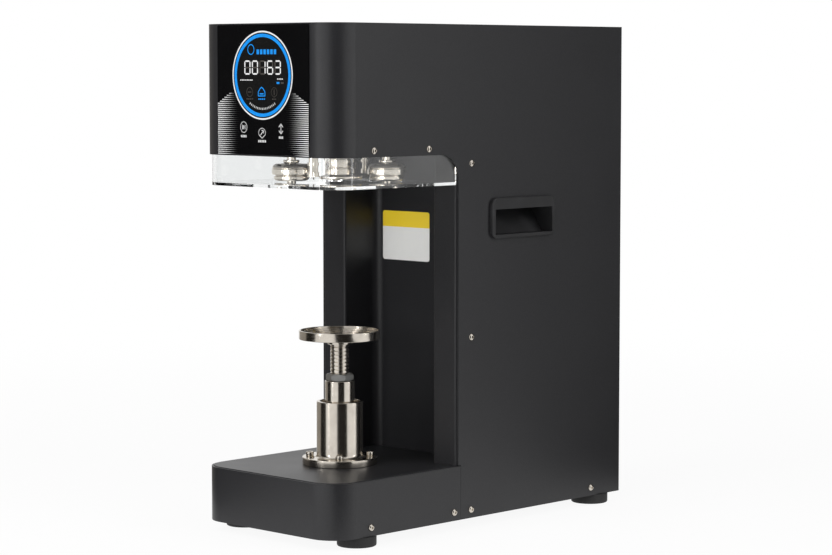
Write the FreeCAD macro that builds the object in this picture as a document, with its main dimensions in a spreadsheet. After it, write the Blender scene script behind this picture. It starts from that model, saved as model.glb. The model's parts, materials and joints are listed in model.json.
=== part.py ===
"""Desktop can seamer: the can stands still on the lifting tray, the seaming head turns round it.

Frame: +Z up, the front faces -Y, the origin is at the middle of the footprint on the surface that the
feet stand on. Sizes are in millimetres. Driving sizes live in the sheet "Sizes"; everything else is
bound to them through expressions.
"""
import FreeCAD, Part
import os
import re
import Sketcher
from FreeCAD import Placement, Rotation, Vector

SIZES = {
    # cabinet
    "width": 208, "depth": 455, "height": 541, "corner_radius": 32, "gauge": 2,
    "seat_gap": 0.3, "running_gap": 0.05, "edge_gap": 1.4,
    "base_height": 59, "head_height": 137.5, "column_setback": 184, "seam_setback": 189,
    "strip_width": 34, "recess_depth": 50, "recess_corner": 10, "cutout_corner": 26,
    "column_flange": 32, "return_flange": 14, "cover_skirt": 12, "floor_flange": 17,
    "base_plate_thickness": 5, "base_plate_proud": 0.8,
    # feet
    "foot_height": 11, "foot_radius": 20.8, "foot_side_inset": 18, "foot_front_inset": 50,
    "foot_rear_inset": 31,
    # fasteners
    "screw_radius": 2, "screw_head_radius": 3.8, "screw_head_height": 2.3, "screw_length": 12,
    "screw_clearance": 0.15, "bolt_radius": 2.5, "bolt_head_radius": 4.25, "bolt_head_height": 5,
    "bolt_length": 20, "rear_screw_margin": 7, "rear_screw_rise": 49, "rear_screw_drop": 61,
    "guard_screw_front": 58.3, "guard_screw_rear": 139.8, "base_screw_front": 53.3,
    "last_screw_inset": 50,
    # side handles
    "handle_length": 103, "handle_height": 44.4, "handle_proud": 4.5, "handle_setback": 285.4,
    "handle_drop": 70.4, "handle_mouth": 92.6, "handle_top_bar": 12.3, "handle_bottom_bar": 4.5,
    "handle_depth": 31, "handle_wall": 2.5, "handle_corner": 9, "handle_edge": 1.6,
    # control panel
    "panel_width": 139.6, "panel_height": 134.6, "panel_margin": 1.2, "panel_thickness": 1,
    "window_width": 118, "window_height": 104, "window_drop": 67, "display_depth": 14,
    # guard
    "guard_drop": 32.5, "guard_wall": 3, "guard_opening_radius": 70, "guard_overlap": 12,
    # lifter
    "axis_setback": 109.5, "flange_radius": 40.5, "flange_thickness": 8, "flange_fillet": 4,
    "sleeve_radius": 25, "sleeve_rise": 60, "sleeve_cup_radius": 21, "sleeve_cup_depth": 12,
    "sleeve_bolt_circle": 32.3, "piston_radius": 16, "piston_rise": 22, "piston_tail": 12,
    "stem_radius": 10, "stem_rise": 39.3, "stem_engagement": 20, "stem_drop": 25, "nut_height": 7.2,
    "nut_circumradius": 15, "nut_turn": 40, "tray_radius": 43.8, "tray_height": 9.7, "tray_boss_radius": 13,
    "tray_boss_height": 5.6, "tray_rim": 2.2, "tray_ledge_radius": 37.5, "tray_floor_radius": 33.5,
    "lift_screw_radius": 6, "lift_screw_length": 56, "coupling_radius": 9, "coupling_height": 5,
    "lift_motor_radius": 23, "lift_motor_height": 33, "bracket_thickness": 3, "bracket_half": 31,
    "prop_radius": 7,
    # head: plates and pillars
    "plate_lift": 1.8, "plate_thickness": 10, "plate_opening_radius": 75, "plate_tail": 40,
    "pillar_radius": 7, "pillar_height": 46.7, "pillar_spread": 62, "deck_thickness": 8,
    "deck_half_width": 72, "deck_front_reach": 82, "deck_rear_reach": 74,
    "post_size": 20, "post_wall": 2, "post_spread": 60, "front_post_setback": 250,
    "rear_post_inset": 55, "rail_level": 250,
    # head: turning parts
    "chuck_drop": 26.7, "chuck_flange_radius": 24.5, "chuck_flange_height": 3.2,
    "chuck_boss_radius": 17, "chuck_boss_height": 20, "shaft_radius": 8,
    "arm_clear": 2, "arm_thickness": 8, "turn_gap": 0.5, "disc_radius": 70, "disc_thickness": 12,
    "spindle_radius": 17.5, "spindle_bore": 10, "spindle_flange_radius": 28,
    "spindle_flange_height": 5.5, "housing_radius": 38, "housing_flange_radius": 50,
    "housing_height": 35, "bearing_radius": 31, "bearing_height": 14,
    "pulley_radius": 45, "pulley_height": 16, "pulley_gap": 3, "motor_pulley_radius": 18,
    "belt_thickness": 3, "belt_width": 10, "bridge_thickness": 6, "bridge_half": 66,
    "bridge_width": 20,
    # seaming arms, in the frame of one arm: the roller lies on its X axis
    "arm_angle": 44, "roller_reach": 50, "pivot_along": 26, "pivot_across": 48,
    "arm_boss_radius": 9, "arm_web": 15, "pivot_radius": 3.5, "pivot_nut_radius": 5,
    "pivot_drop": 20.5, "roller_radius": 20.9, "roller_height": 18, "roller_drop": 26.5,
    "roller_pin_radius": 4.9, "roller_pin_drop": 31.2, "collar_radius": 8.6, "collar_height": 3.6,
    # cam sleeve
    "cam_lift": 17, "cam_half_height": 11, "cam_wall": 3, "cam_slope": 0.51,
    "follower_offset": 6, "follower_angle": 110, "finger_radius": 2, "post_radius": 4,
    "follower_post_reach": 37, "lever_thickness": 5, "fork_reach": 62, "fork_thickness": 4,
    "fork_width": 14, "shift_rod_radius": 4, "actuator_side": 24, "actuator_height": 34,
    # drive and electrics
    "motor_setback": 279.5, "motor_radius": 42, "motor_height": 85, "motor_shaft_radius": 6,
    "supply_width": 110, "supply_length": 78, "supply_height": 42, "board_width": 120,
    "board_height": 130, "board_level": 200, "board_thickness": 1.6, "board_standoff": 10,
    "rear_gauge": 1.5, "socket_level": 72, "socket_offset": 42, "socket_width": 28,
    "socket_height": 21, "socket_depth": 20, "switch_width": 21, "switch_height": 27,
    "rocker_radius": 9.5, "rocker_lean": 8, "louvre_width": 120, "louvre_height": 3, "louvre_pitch": 9,
    "louvre_count": 9, "louvre_drop": 141,
}

# Places worked out from the sizes; each name may use the ones above it.
PLACES = {
    "half_width": "width / 2",
    "front_y": "-depth / 2",
    "rear_y": "depth / 2",
    "nest_half": "half_width - gauge - seat_gap",
    "nest_front": "front_y + gauge + seat_gap",
    "column_y": "front_y + column_setback",
    "side_edge_y": "column_y + edge_gap",
    "seam_y": "front_y + seam_setback",
    "axis_y": "front_y + axis_setback",
    "recess_back_y": "column_y + recess_depth",
    "recess_half": "nest_half - strip_width",
    "base_top": "foot_height + base_height",
    "floor_top": "foot_height + gauge",
    "head_bottom": "height - head_height",
    "cover_bottom": "height - gauge - cover_skirt",
    "rear_inside": "rear_y - gauge - seat_gap",
    # lifter levels
    "flange_top": "base_top + flange_thickness",
    "sleeve_top": "flange_top + sleeve_rise",
    "piston_top": "sleeve_top + piston_rise",
    "piston_bottom": "base_top - piston_tail",
    "nut_bottom": "piston_top + seat_gap",
    "nut_top": "nut_bottom + nut_height",
    "boss_bottom": "piston_top + stem_rise",
    "tray_bottom": "boss_bottom + tray_boss_height",
    "tray_top": "tray_bottom + tray_height",
    "stem_bottom": "piston_top - stem_engagement",
    "stem_well": "stem_bottom - stem_drop - 2",
    "bolt_offset": "sleeve_bolt_circle * cos(45)",
    "bracket_top": "floor_top + lift_motor_height + bracket_thickness + 3",
    "motor_top": "bracket_top - bracket_thickness",
    "coupling_top": "bracket_top + coupling_height - bracket_thickness / 2",
    "lift_screw_top": "coupling_top + lift_screw_length",
    # head levels
    "plate_bottom": "head_bottom + plate_lift",
    "plate_top": "plate_bottom + plate_thickness",
    "guard_bottom": "head_bottom - guard_drop",
    "guard_half": "nest_half",
    "plate_half": "nest_half - guard_wall - seat_gap",
    "plate_front": "nest_front + guard_wall + seat_gap",
    "deck_bottom": "plate_top + pillar_height",
    "deck_top": "deck_bottom + deck_thickness",
    "housing_top": "deck_top + housing_height",
    "arm_bottom": "head_bottom - arm_clear",
    "arm_top": "arm_bottom + arm_thickness",
    "disc_bottom": "arm_top + turn_gap",
    "disc_top": "disc_bottom + disc_thickness",
    "cam_middle": "disc_top + cam_lift",
    "cam_radius": "spindle_radius + running_gap + cam_wall + cam_half_height * cam_slope",
    "cam_end_radius": "spindle_radius + running_gap + cam_wall",
    "cam_neck_top": "cam_middle + cam_half_height + 6",
    "tip_reach": "cam_radius - follower_offset * cam_slope - finger_radius"
                 " + (finger_radius + seat_gap) * sqrt(1 + cam_slope^2)",
    "pulley_bottom": "housing_top + pulley_gap",
    "pulley_top": "pulley_bottom + pulley_height",
    "spindle_top": "pulley_top + 4",
    "bridge_bottom": "spindle_top + 2",
    "bridge_top": "bridge_bottom + bridge_thickness",
    "chuck_bottom": "head_bottom - chuck_drop",
    "chuck_top": "chuck_bottom + chuck_flange_height + chuck_boss_height",
    "motor_y": "front_y + motor_setback",
    "belt_bottom": "pulley_bottom + (pulley_height - belt_width) / 2",
    "panel_top": "height - panel_margin",
    "panel_bottom": "panel_top - panel_height",
    "front_post_y": "front_y + front_post_setback",
    "rear_post_y": "rear_y - rear_post_inset",
    "handle_y": "front_y + handle_setback",
    "handle_level": "head_bottom - handle_drop",
    "window_level": "height - window_drop",
    "louvre_level": "height - louvre_drop",
}

# Side screws of the wraps: setback from the front, level. The left side mirrors the right.
HOUSING_SCREWS = [
    ("guard_screw_front", "plate_bottom + plate_thickness / 2"),
    ("guard_screw_rear", "plate_bottom + plate_thickness / 2"),
    ("column_setback + column_flange * 2 / 3", "head_bottom - 10"),
    ("column_setback + column_flange * 2 / 3", "(head_bottom + foot_height) / 2"),
    ("column_setback + column_flange * 2 / 3", "foot_height + floor_flange / 2 + 0.8"),
    ("depth - last_screw_inset", "foot_height + floor_flange / 2 + 0.8"),
]
BASE_SCREWS = [
    ("base_screw_front", "foot_height + floor_flange / 2 + 0.8"),
    ("seam_setback - 10", "foot_height + floor_flange / 2 + 0.8"),
]
REAR_SCREW_LEVELS = [
    f"foot_height + rear_screw_rise + (height - foot_height - rear_screw_rise - rear_screw_drop)"
    f" * {step} / 3" for step in range(4)]

X_AXIS, Y_AXIS, Z_AXIS = Vector(1, 0, 0), Vector(0, 1, 0), Vector(0, 0, 1)

doc = FreeCAD.newDocument("can_seamer")
sheet = doc.addObject("Spreadsheet::Sheet", "Sizes")
for row, (alias, value) in enumerate(SIZES.items(), start=1):
    sheet.set(f"A{row}", alias)
    sheet.set(f"B{row}", str(value))
    sheet.setAlias(f"B{row}", alias)
doc.recompute()

nodes = []


# ---------------------------------------------------------------- helpers
def spelled(text):
    """An expression for FreeCAD, with places written out and sizes read from the sheet."""
    def word(match):
        name = match.group()
        if name in PLACES:
            return "(" + spelled(PLACES[name]) + ")"
        return "Sizes." + name if name in SIZES else name
    return re.sub(r"[a-z][a-z0-9_]*", word, str(text))


def measured(text):
    """What an expression comes to with the sizes as they are now."""
    return float(sheet.evalExpression(spelled(text)))


def bind(thing, **values):
    """Bind properties to expressions; a double underscore in a name stands for a dot."""
    for name, text in values.items():
        thing.setExpression(name.replace("__", "."), spelled(text))


def place(thing, x="0", y="0", z="0", turn=None, about=Z_AXIS):
    """Place an object by expressions, turned about one axis if asked."""
    if turn is not None:
        thing.Placement = Placement(Vector(), Rotation(about, 1))
        bind(thing, Placement__Rotation__Angle=turn)
    bind(thing, Placement__Base__x=x, Placement__Base__y=y, Placement__Base__z=z)


def keep(thing, label):
    """Register a finished sub-part under its node name."""
    thing.Label = label
    nodes.append(thing)
    return thing


# ---------------------------------------------------------------- Part primitives
def block(name, low, size):
    """A box from its lowest corner and its three sizes."""
    thing = doc.addObject("Part::Box", name)
    bind(thing, Length=size[0], Width=size[1], Height=size[2])
    place(thing, *low)
    return thing


def rod(name, radius, low, high, x="0", y="0"):
    """A vertical cylinder between two levels."""
    thing = doc.addObject("Part::Cylinder", name)
    bind(thing, Radius=radius, Height=f"({high}) - ({low})")
    place(thing, x, y, low)
    return thing


def join(name, *pieces):
    """Pieces fused into one solid."""
    thing = doc.addObject("Part::MultiFuse", name)
    thing.Shapes = list(pieces)
    return thing


def cut(name, blank, *tools):
    """A blank less its tools."""
    thing = doc.addObject("Part::Cut", name)
    thing.Base = blank
    thing.Tool = tools[0] if len(tools) == 1 else join(name + "_tools", *tools)
    return thing


def group(name, *pieces):
    """Separate solids that share one node."""
    thing = doc.addObject("Part::Compound", name)
    thing.Links = list(pieces)
    return thing


def mirrored(name, source):
    """The same piece on the other side of the machine."""
    thing = doc.addObject("Part::Mirroring", name)
    thing.Source = source
    thing.Normal = Vector(1, 0, 0)
    return thing


# ---------------------------------------------------------------- PartDesign bodies
def body(name):
    return doc.addObject("PartDesign::Body", name)


def sketch_on(part, role, name, offset="0"):
    """An empty sketch on one of the body's own origin planes, moved along its normal."""
    sketch = part.newObject("Sketcher::SketchObject", name)
    origin_plane = [item for item in part.Origin.OriginFeatures if item.Role == role][0]
    sketch.AttachmentSupport = [(origin_plane, "")]
    sketch.MapMode = "FlatFace"
    bind(sketch, AttachmentOffset__Base__z=offset)
    return sketch


def pin_point(sketch, geometry, where, point, tag):
    """Fix one sketch point at (across, along), each an expression."""
    for kind, text, letter in zip(("DistanceX", "DistanceY"), point, "xy"):
        number = sketch.addConstraint(Sketcher.Constraint(kind, -1, 1, geometry, where, 1.0))
        sketch.renameConstraint(number, f"{tag}{letter}")
        sketch.setExpression(f"Constraints.{tag}{letter}", spelled(text))


def outline(sketch, points):
    """A closed straight-sided outline through points given as expressions."""
    first = sketch.GeometryCount
    count = len(points)
    spots = [Rotation(Z_AXIS, 360.0 * index / count).multVec(Vector(20, 0, 0))
             for index in range(count)]
    for index in range(count):
        sketch.addGeometry(Part.LineSegment(spots[index], spots[(index + 1) % count]))
    for index in range(count):
        after = first + (index + 1) % count
        sketch.addConstraint(Sketcher.Constraint("Coincident", first + index, 2, after, 1))
    for index, point in enumerate(points):
        pin_point(sketch, first + index, 1, point, f"p{first + index}")
    return sketch


def rectangle(sketch, left, right, low, high):
    return outline(sketch, [(left, low), (right, low), (right, high), (left, high)])


def circles(sketch, radius, centres):
    """Round holes of one radius at centres given as expressions."""
    for across, along in centres:
        number = sketch.addGeometry(Part.Circle(Vector(1, 1, 0), Vector(0, 0, 1), 3.0))
        size = sketch.addConstraint(Sketcher.Constraint("Radius", number, 3.0))
        sketch.renameConstraint(size, f"r{number}")
        sketch.setExpression(f"Constraints.r{number}", spelled(radius))
        pin_point(sketch, number, 3, (across, along), f"c{number}")
    return sketch


def pad(part, sketch, length, reverse=False, middle=False):
    feature = part.newObject("PartDesign::Pad", sketch.Name + "_pad")
    feature.Profile = sketch
    feature.Reversed = reverse
    feature.Midplane = middle
    bind(feature, Length=length)
    doc.recompute()
    return feature


def pocket(part, sketch, length=None, reverse=False, middle=False):
    """A cut away from the sketch's normal, or right through both ways where no length is given."""
    feature = part.newObject("PartDesign::Pocket", sketch.Name + "_pocket")
    feature.Profile = sketch
    if length is None:
        feature.Type = "ThroughAll"
        feature.Midplane = True
    else:
        feature.Reversed = reverse
        feature.Midplane = middle
        bind(feature, Length=length)
    doc.recompute()
    return feature


def edges_along(shape, axis):
    """Names and middles of the straight edges along X, Y or Z."""
    found = []
    for number, edge in enumerate(shape.Edges, start=1):
        ends = [vertex.Point for vertex in edge.Vertexes]
        if len(ends) != 2 or edge.Curve.TypeId != "Part::GeomLine":
            continue
        run = ends[1] - ends[0]
        if abs(abs(run.getAngle(axis) - 1.5707963) - 1.5707963) < 1e-4:
            found.append((f"Edge{number}", (ends[0] + ends[1]) / 2))
    return found


def fillet(part, radius, axis, chosen, name):
    """Round the straight edges along an axis whose middle is chosen."""
    doc.recompute()
    tip = part.Tip
    names = [edge for edge, middle in edges_along(tip.Shape, axis) if chosen(middle)]
    feature = part.newObject("PartDesign::Fillet", name)
    feature.Base = (tip, names)
    bind(feature, Radius=radius)
    doc.recompute()
    return feature


def turned(name, profile, x="0", y="0"):
    """A body turned about its own vertical axis from (radius, level) points."""
    part = body(name)
    sketch = outline(sketch_on(part, "XZ_Plane", name + "_profile"), profile)
    feature = part.newObject("PartDesign::Revolution", name + "_turned")
    feature.Profile = sketch
    feature.ReferenceAxis = (sketch, ["V_Axis"])
    feature.Angle = 360
    place(part, x, y)
    doc.recompute()
    return part


def ends(spread, *others):
    """The four corner places at plus and minus two offsets."""
    return [(f"{sx}({spread})", y) for sx in ("-", "+") for y in others]


def front_corners(part, radius, name, inner=False):
    """Round the two upright front corners of a body's outside, or of its inside."""
    doc.recompute()
    uprights = [middle for _, middle in edges_along(part.Tip.Shape, Z_AXIS)]
    fronts = sorted({round(middle.y, 3) for middle in uprights})
    level = fronts[1] if inner else fronts[0]
    reach = max(abs(middle.x) for middle in uprights if abs(middle.y - level) < 0.01)
    fillet(part, radius, Z_AXIS,
           lambda middle: abs(middle.y - level) < 0.01 and abs(abs(middle.x) - reach) < 0.01, name)


def bend_corners(part, radius, wall, name):
    """Bend both front corners of a wall: the inside first, then the outside round it."""
    front_corners(part, f"{radius} - {wall}", name + "_bend_inner", inner=True)
    front_corners(part, radius, name + "_bend_outer")


def side_holes(part, places, name):
    """Screw holes through both sides, as deep as the screws reach."""
    for side, reverse in (("half_width", False), ("-half_width", True)):
        tag = name + ("_left" if reverse else "_right")
        sketch = sketch_on(part, "YZ_Plane", tag, side)
        circles(sketch, "screw_radius + screw_clearance",
                [(f"front_y + {back}", level) for back, level in places])
        pocket(part, sketch, "screw_length + 1", reverse=reverse)


def button_screw(name, x, y, z, turn, about):
    """A button-head hex-socket screw: its head stands on the place, its shank goes in."""
    shank = rod(name + "_shank", "screw_radius", "-screw_length", "0")
    head = doc.addObject("Part::Cone", name + "_head")
    bind(head, Radius1="screw_head_radius", Radius2="screw_head_radius * 0.62",
         Height="screw_head_height")
    socket = doc.addObject("Part::Prism", name + "_socket")
    socket.Polygon = 6
    bind(socket, Circumradius="screw_radius * 0.72", Height="screw_head_height")
    place(socket, "0", "0", "screw_head_height * 0.35")
    screw = cut(name, join(name + "_blank", shank, head), socket)
    place(screw, x, y, z, turn, about)
    return screw


# ---------------------------------------------------------------- cabinet sheet metal
def upper_housing():
    """One bent sheet: head front, both head sides and both column sides, with rear return flanges."""
    part = body("upper_housing")
    outer = rectangle(sketch_on(part, "XY_Plane", "housing_outer", "foot_height"),
                      "-half_width", "half_width", "front_y", "rear_y")
    pad(part, outer, "height - foot_height")
    inner = outline(sketch_on(part, "XY_Plane", "housing_inner"), [
        ("-half_width + gauge", "front_y + gauge"), ("half_width - gauge", "front_y + gauge"),
        ("half_width - gauge", "rear_y - gauge"),
        ("half_width - gauge - return_flange", "rear_y - gauge"),
        ("half_width - gauge - return_flange", "rear_y + gauge"),
        ("-half_width + gauge + return_flange", "rear_y + gauge"),
        ("-half_width + gauge + return_flange", "rear_y - gauge"),
        ("-half_width + gauge", "rear_y - gauge")])
    pocket(part, inner)
    bend_corners(part, "corner_radius", "gauge", "housing")
    cutout = outline(sketch_on(part, "YZ_Plane", "housing_cutout"), [
        ("front_y - gauge", "foot_height - gauge"), ("seam_y + seat_gap", "foot_height - gauge"),
        ("seam_y + seat_gap", "base_top + seat_gap"), ("side_edge_y", "base_top + seat_gap"),
        ("side_edge_y", "head_bottom"), ("front_y - gauge", "head_bottom")])
    pocket(part, cutout)
    back, crown = measured("side_edge_y"), measured("head_bottom")
    fillet(part, "cutout_corner", X_AXIS,
           lambda middle: abs(middle.y - back) + abs(middle.z - crown) < 0.01,
           "housing_cutout_corner")
    window = rectangle(sketch_on(part, "XZ_Plane", "housing_window", "-front_y - gauge - 1"),
                       "-window_width / 2", "window_width / 2",
                       "window_level - window_height / 2", "window_level + window_height / 2")
    pocket(part, window, "gauge + 2", reverse=True)
    mouth = rectangle(sketch_on(part, "YZ_Plane", "housing_handle_mouth"),
                      "handle_y - handle_mouth / 2 - handle_wall - seat_gap",
                      "handle_y + handle_mouth / 2 + handle_wall + seat_gap",
                      "handle_level - handle_height / 2 + handle_wall - seat_gap",
                      "handle_level + handle_height / 2 - handle_wall + seat_gap")
    pocket(part, mouth)
    side_holes(part, HOUSING_SCREWS, "housing_screw_holes")
    rear = sketch_on(part, "XZ_Plane", "housing_rear_holes", "-rear_y")
    circles(rear, "screw_radius + screw_clearance", rear_screw_places())
    pocket(part, rear, "gauge + 3", reverse=True)
    return keep(part, "upper_housing")


def rear_screw_places():
    across = "half_width - gauge - rear_screw_margin"
    return [(side + "(" + across + ")", level) for side in ("", "-") for level in REAR_SCREW_LEVELS]


def nested_tray(name, half, front, rear, low, height, wall, floor_at_top, radius):
    """A shallow sheet tray with upturned or downturned edges all round."""
    part = body(name)
    outer = rectangle(sketch_on(part, "XY_Plane", name + "_outer", low),
                      f"-({half})", half, front, rear)
    pad(part, outer, height)
    level = low if floor_at_top else f"({low}) + ({height})"
    inner = rectangle(sketch_on(part, "XY_Plane", name + "_inner", level),
                      f"-({half}) + {wall}", f"{half} - {wall}", f"{front} + {wall}",
                      f"{rear} - {wall}")
    pocket(part, inner, f"({height}) - {wall}", reverse=floor_at_top)
    bend_corners(part, radius, wall, name)
    return part


def top_cover():
    """The lid of the head: a flat top with a short skirt, set flush inside the wrap."""
    part = nested_tray("top_cover", "nest_half", "nest_front", "rear_inside", "cover_bottom",
                       "gauge + cover_skirt", "gauge", True, "corner_radius - gauge - seat_gap")
    return keep(part, "top_cover")


def floor_plate():
    """The bottom of the machine with upturned edges that take the lowest row of screws."""
    part = nested_tray("floor_plate", "nest_half", "nest_front", "rear_inside", "foot_height",
                       "floor_flange", "gauge", False, "corner_radius - gauge - seat_gap")
    side_holes(part, BASE_SCREWS + HOUSING_SCREWS[4:], "floor_screw_holes")
    return keep(part, "floor_plate")


def base_shell():
    """The bent sheet round the front of the base, up to the seam."""
    part = body("base_shell")
    outer = rectangle(sketch_on(part, "XY_Plane", "base_outer", "foot_height"),
                      "-half_width", "half_width", "front_y", "seam_y")
    pad(part, outer, "base_height - base_plate_proud")
    inner = rectangle(sketch_on(part, "XY_Plane", "base_inner"),
                      "-half_width + gauge", "half_width - gauge", "front_y + gauge",
                      "seam_y + gauge")
    pocket(part, inner)
    bend_corners(part, "corner_radius", "gauge", "base")
    side_holes(part, BASE_SCREWS, "base_screw_holes")
    return keep(part, "base_shell")


def base_top_plate():
    """The thick plate that carries the lifter, flush inside the base shell."""
    part = body("base_top_plate")
    outer = rectangle(sketch_on(part, "XY_Plane", "base_plate_outer",
                                "base_top - base_plate_thickness"),
                      "-nest_half", "nest_half", "nest_front", "front_post_y - post_size / 2")
    pad(part, outer, "base_plate_thickness")
    front_corners(part, "corner_radius - gauge - seat_gap", "base_plate_corners")
    front, top = measured("nest_front"), measured("base_top")
    fillet(part, "base_plate_proud", X_AXIS,
           lambda middle: abs(middle.y - front) + abs(middle.z - top) < 0.01, "base_plate_edge")
    holes = sketch_on(part, "XY_Plane", "base_plate_holes")
    circles(holes, "piston_radius + 1", [("0", "axis_y")])
    circles(holes, "bolt_radius + screw_clearance",
            ends("bolt_offset", "axis_y - bolt_offset", "axis_y + bolt_offset"))
    pocket(part, holes)
    return keep(part, "base_top_plate")


def column_panel():
    """The folded sheet that closes the column: two strips, a deep recess and side flanges."""
    part = body("column_panel")
    right = [
        ("recess_half + gauge", "recess_back_y + gauge"), ("recess_half + gauge", "column_y + gauge"),
        ("nest_half - gauge", "column_y + gauge"), ("nest_half - gauge", "column_y + column_flange"),
        ("nest_half", "column_y + column_flange"), ("nest_half", "column_y"),
        ("recess_half", "column_y"), ("recess_half", "recess_back_y")]
    left = [(f"-({across})", along) for across, along in reversed(right)]
    sketch = outline(sketch_on(part, "XY_Plane", "column_profile", "base_top"), right + left)
    pad(part, sketch, "plate_bottom - base_top")
    deep = part.Tip.Shape.BoundBox.YMax
    fillet(part, "recess_corner + gauge", Z_AXIS, lambda middle: abs(middle.y - deep) < 0.01,
           "column_recess_outer")
    inner = deep - SIZES["gauge"]
    fillet(part, "recess_corner", Z_AXIS, lambda middle: abs(middle.y - inner) < 0.01,
           "column_recess_inner")
    face = part.Tip.Shape.BoundBox.YMin
    fillet(part, "gauge + 0.5", Z_AXIS, lambda middle: abs(middle.y - face) < 0.01, "column_bends")
    side_holes(part, HOUSING_SCREWS[2:4], "column_screw_holes")
    return keep(part, "column_panel")


def rear_panel():
    """The flat back, behind the return flanges, with louvre slots and the socket cut-outs."""
    part = body("rear_panel")
    back = "-rear_inside"
    blank = rectangle(sketch_on(part, "XZ_Plane", "rear_blank", back), "-nest_half", "nest_half",
                      "foot_height + floor_flange + seat_gap", "cover_bottom - seat_gap")
    pad(part, blank, "rear_gauge")
    slot = rectangle(sketch_on(part, "XZ_Plane", "rear_louvre", back), "-louvre_width / 2",
                     "louvre_width / 2", "louvre_level", "louvre_level + louvre_height")
    cutter = pocket(part, slot)
    pattern = part.newObject("PartDesign::LinearPattern", "rear_louvres")
    pattern.Originals = [cutter]
    pattern.Direction = (slot, ["V_Axis"])
    bind(pattern, Length="louvre_pitch * (louvre_count - 1)", Occurrences="louvre_count")
    part.Tip = pattern
    doc.recompute()
    cutouts = sketch_on(part, "XZ_Plane", "rear_cutouts", back)
    rectangle(cutouts, "-socket_offset - socket_width / 2 - seat_gap",
              "-socket_offset + socket_width / 2 + seat_gap",
              "socket_level - socket_height / 2 - seat_gap",
              "socket_level + socket_height / 2 + seat_gap")
    rectangle(cutouts, "socket_offset - switch_width / 2 - seat_gap",
              "socket_offset + switch_width / 2 + seat_gap",
              "socket_level - switch_height / 2 - seat_gap",
              "socket_level + switch_height / 2 + seat_gap")
    circles(cutouts, "screw_radius + screw_clearance", rear_screw_places())
    pocket(part, cutouts)
    return keep(part, "rear_panel")


def feet():
    """Four round rubber feet under the floor plate."""
    profile = [("0", "1.5"), ("foot_radius - 9", "1.5"), ("foot_radius - 8", "0"),
               ("foot_radius - 2", "0"), ("foot_radius", "2"), ("foot_radius", "foot_height - 1.5"),
               ("foot_radius - 1.5", "foot_height"), ("0", "foot_height")]
    places = ends("half_width - foot_side_inset", "front_y + foot_front_inset",
                  "rear_y - foot_rear_inset")
    keep(group("feet", *[turned(f"foot_{index}", profile, across, along)
                         for index, (across, along) in enumerate(places)]), "feet")


def handles():
    """A moulded recessed grip on each side: a proud frame and a cup behind it, deep at the top."""
    part = body("handle_right")
    place(part, "half_width", "handle_y", "handle_level")
    frame = rectangle(sketch_on(part, "YZ_Plane", "handle_frame"), "-handle_length / 2",
                      "handle_length / 2", "-handle_height / 2", "handle_height / 2")
    pad(part, frame, "handle_proud")
    fillet(part, "handle_corner", X_AXIS, lambda middle: True, "handle_frame_corners")
    proud = measured("handle_proud")
    fillet(part, "handle_edge", Y_AXIS, lambda middle: abs(middle.x - proud) < 0.01,
           "handle_frame_edge")
    top = "handle_height / 2 - handle_wall"
    cup = outline(sketch_on(part, "XZ_Plane", "handle_cup"), [
        ("0", f"-({top})"), ("0", top), ("-handle_depth", top), ("-handle_depth", "handle_height / 8"),
        ("-handle_depth * 0.4", f"-({top})")])
    pad(part, cup, "handle_mouth + 2 * handle_wall", middle=True)
    scoop = outline(sketch_on(part, "XZ_Plane", "handle_scoop"), [
        ("handle_proud + 1", "-handle_height / 2 + handle_bottom_bar"),
        ("handle_proud + 1", "handle_height / 2 - handle_top_bar"),
        ("-handle_wall", "handle_height / 2 - handle_top_bar"),
        ("-handle_wall", f"{top} - handle_wall"),
        ("-handle_depth + handle_wall", f"{top} - handle_wall"),
        ("-handle_depth + handle_wall", "handle_height / 8 + handle_wall / 2"),
        ("-handle_depth * 0.36", "-handle_height / 2 + handle_bottom_bar")])
    pocket(part, scoop, "handle_mouth", middle=True)
    keep(part, "handle_right")
    keep(mirrored("handle_left", part), "handle_left")


def clear_guard():
    """The clear skirt under the head with a floor that has a round way in for the can."""
    part = body("clear_guard")
    low, high = "guard_bottom", "head_bottom + guard_overlap"
    rear = "column_y - seat_gap"
    outer = rectangle(sketch_on(part, "XY_Plane", "guard_outer", low), "-guard_half", "guard_half",
                      "nest_front", rear)
    pad(part, outer, f"({high}) - ({low})")
    inner = rectangle(sketch_on(part, "XY_Plane", "guard_inner", high),
                      "-guard_half + guard_wall", "guard_half - guard_wall",
                      "nest_front + guard_wall", f"{rear} + gauge")
    pocket(part, inner, f"({high}) - ({low}) - guard_wall")
    bend_corners(part, "corner_radius - gauge - seat_gap", "guard_wall", "guard")
    opening = circles(sketch_on(part, "XY_Plane", "guard_opening"), "guard_opening_radius",
                      [("0", "axis_y")])
    pocket(part, opening)
    side_holes(part, HOUSING_SCREWS[:2], "guard_screw_holes")
    return keep(part, "clear_guard")


def control_panel():
    """The glossy overlay on the head's front, and the display module that fills the window."""
    glass = block("control_panel", ("-panel_width / 2", "front_y - panel_thickness", "panel_bottom"),
                  ("panel_width", "panel_thickness", "panel_height"))
    keep(glass, "control_panel")
    keep(block("display_module",
               ("-window_width / 2 + seat_gap", "front_y",
                "window_level - window_height / 2 + seat_gap"),
               ("window_width - 2 * seat_gap", "display_depth", "window_height - 2 * seat_gap")),
         "display_module")


def housing_screws():
    """All button-head screws of the cabinet: both sides and the rear panel."""
    right = [button_screw(f"side_screw_{index}", "half_width", f"front_y + {back}", level, "90", Y_AXIS)
             for index, (back, level) in enumerate(HOUSING_SCREWS + BASE_SCREWS)]
    side = group("side_screws_right", *right)
    rear = [button_screw(f"rear_screw_{index}", across, "rear_y", level, "-90", X_AXIS)
            for index, (across, level) in enumerate(rear_screw_places())]
    keep(group("cabinet_screws", side, mirrored("side_screws_left", side), *rear),
         "cabinet_screws")


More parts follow.
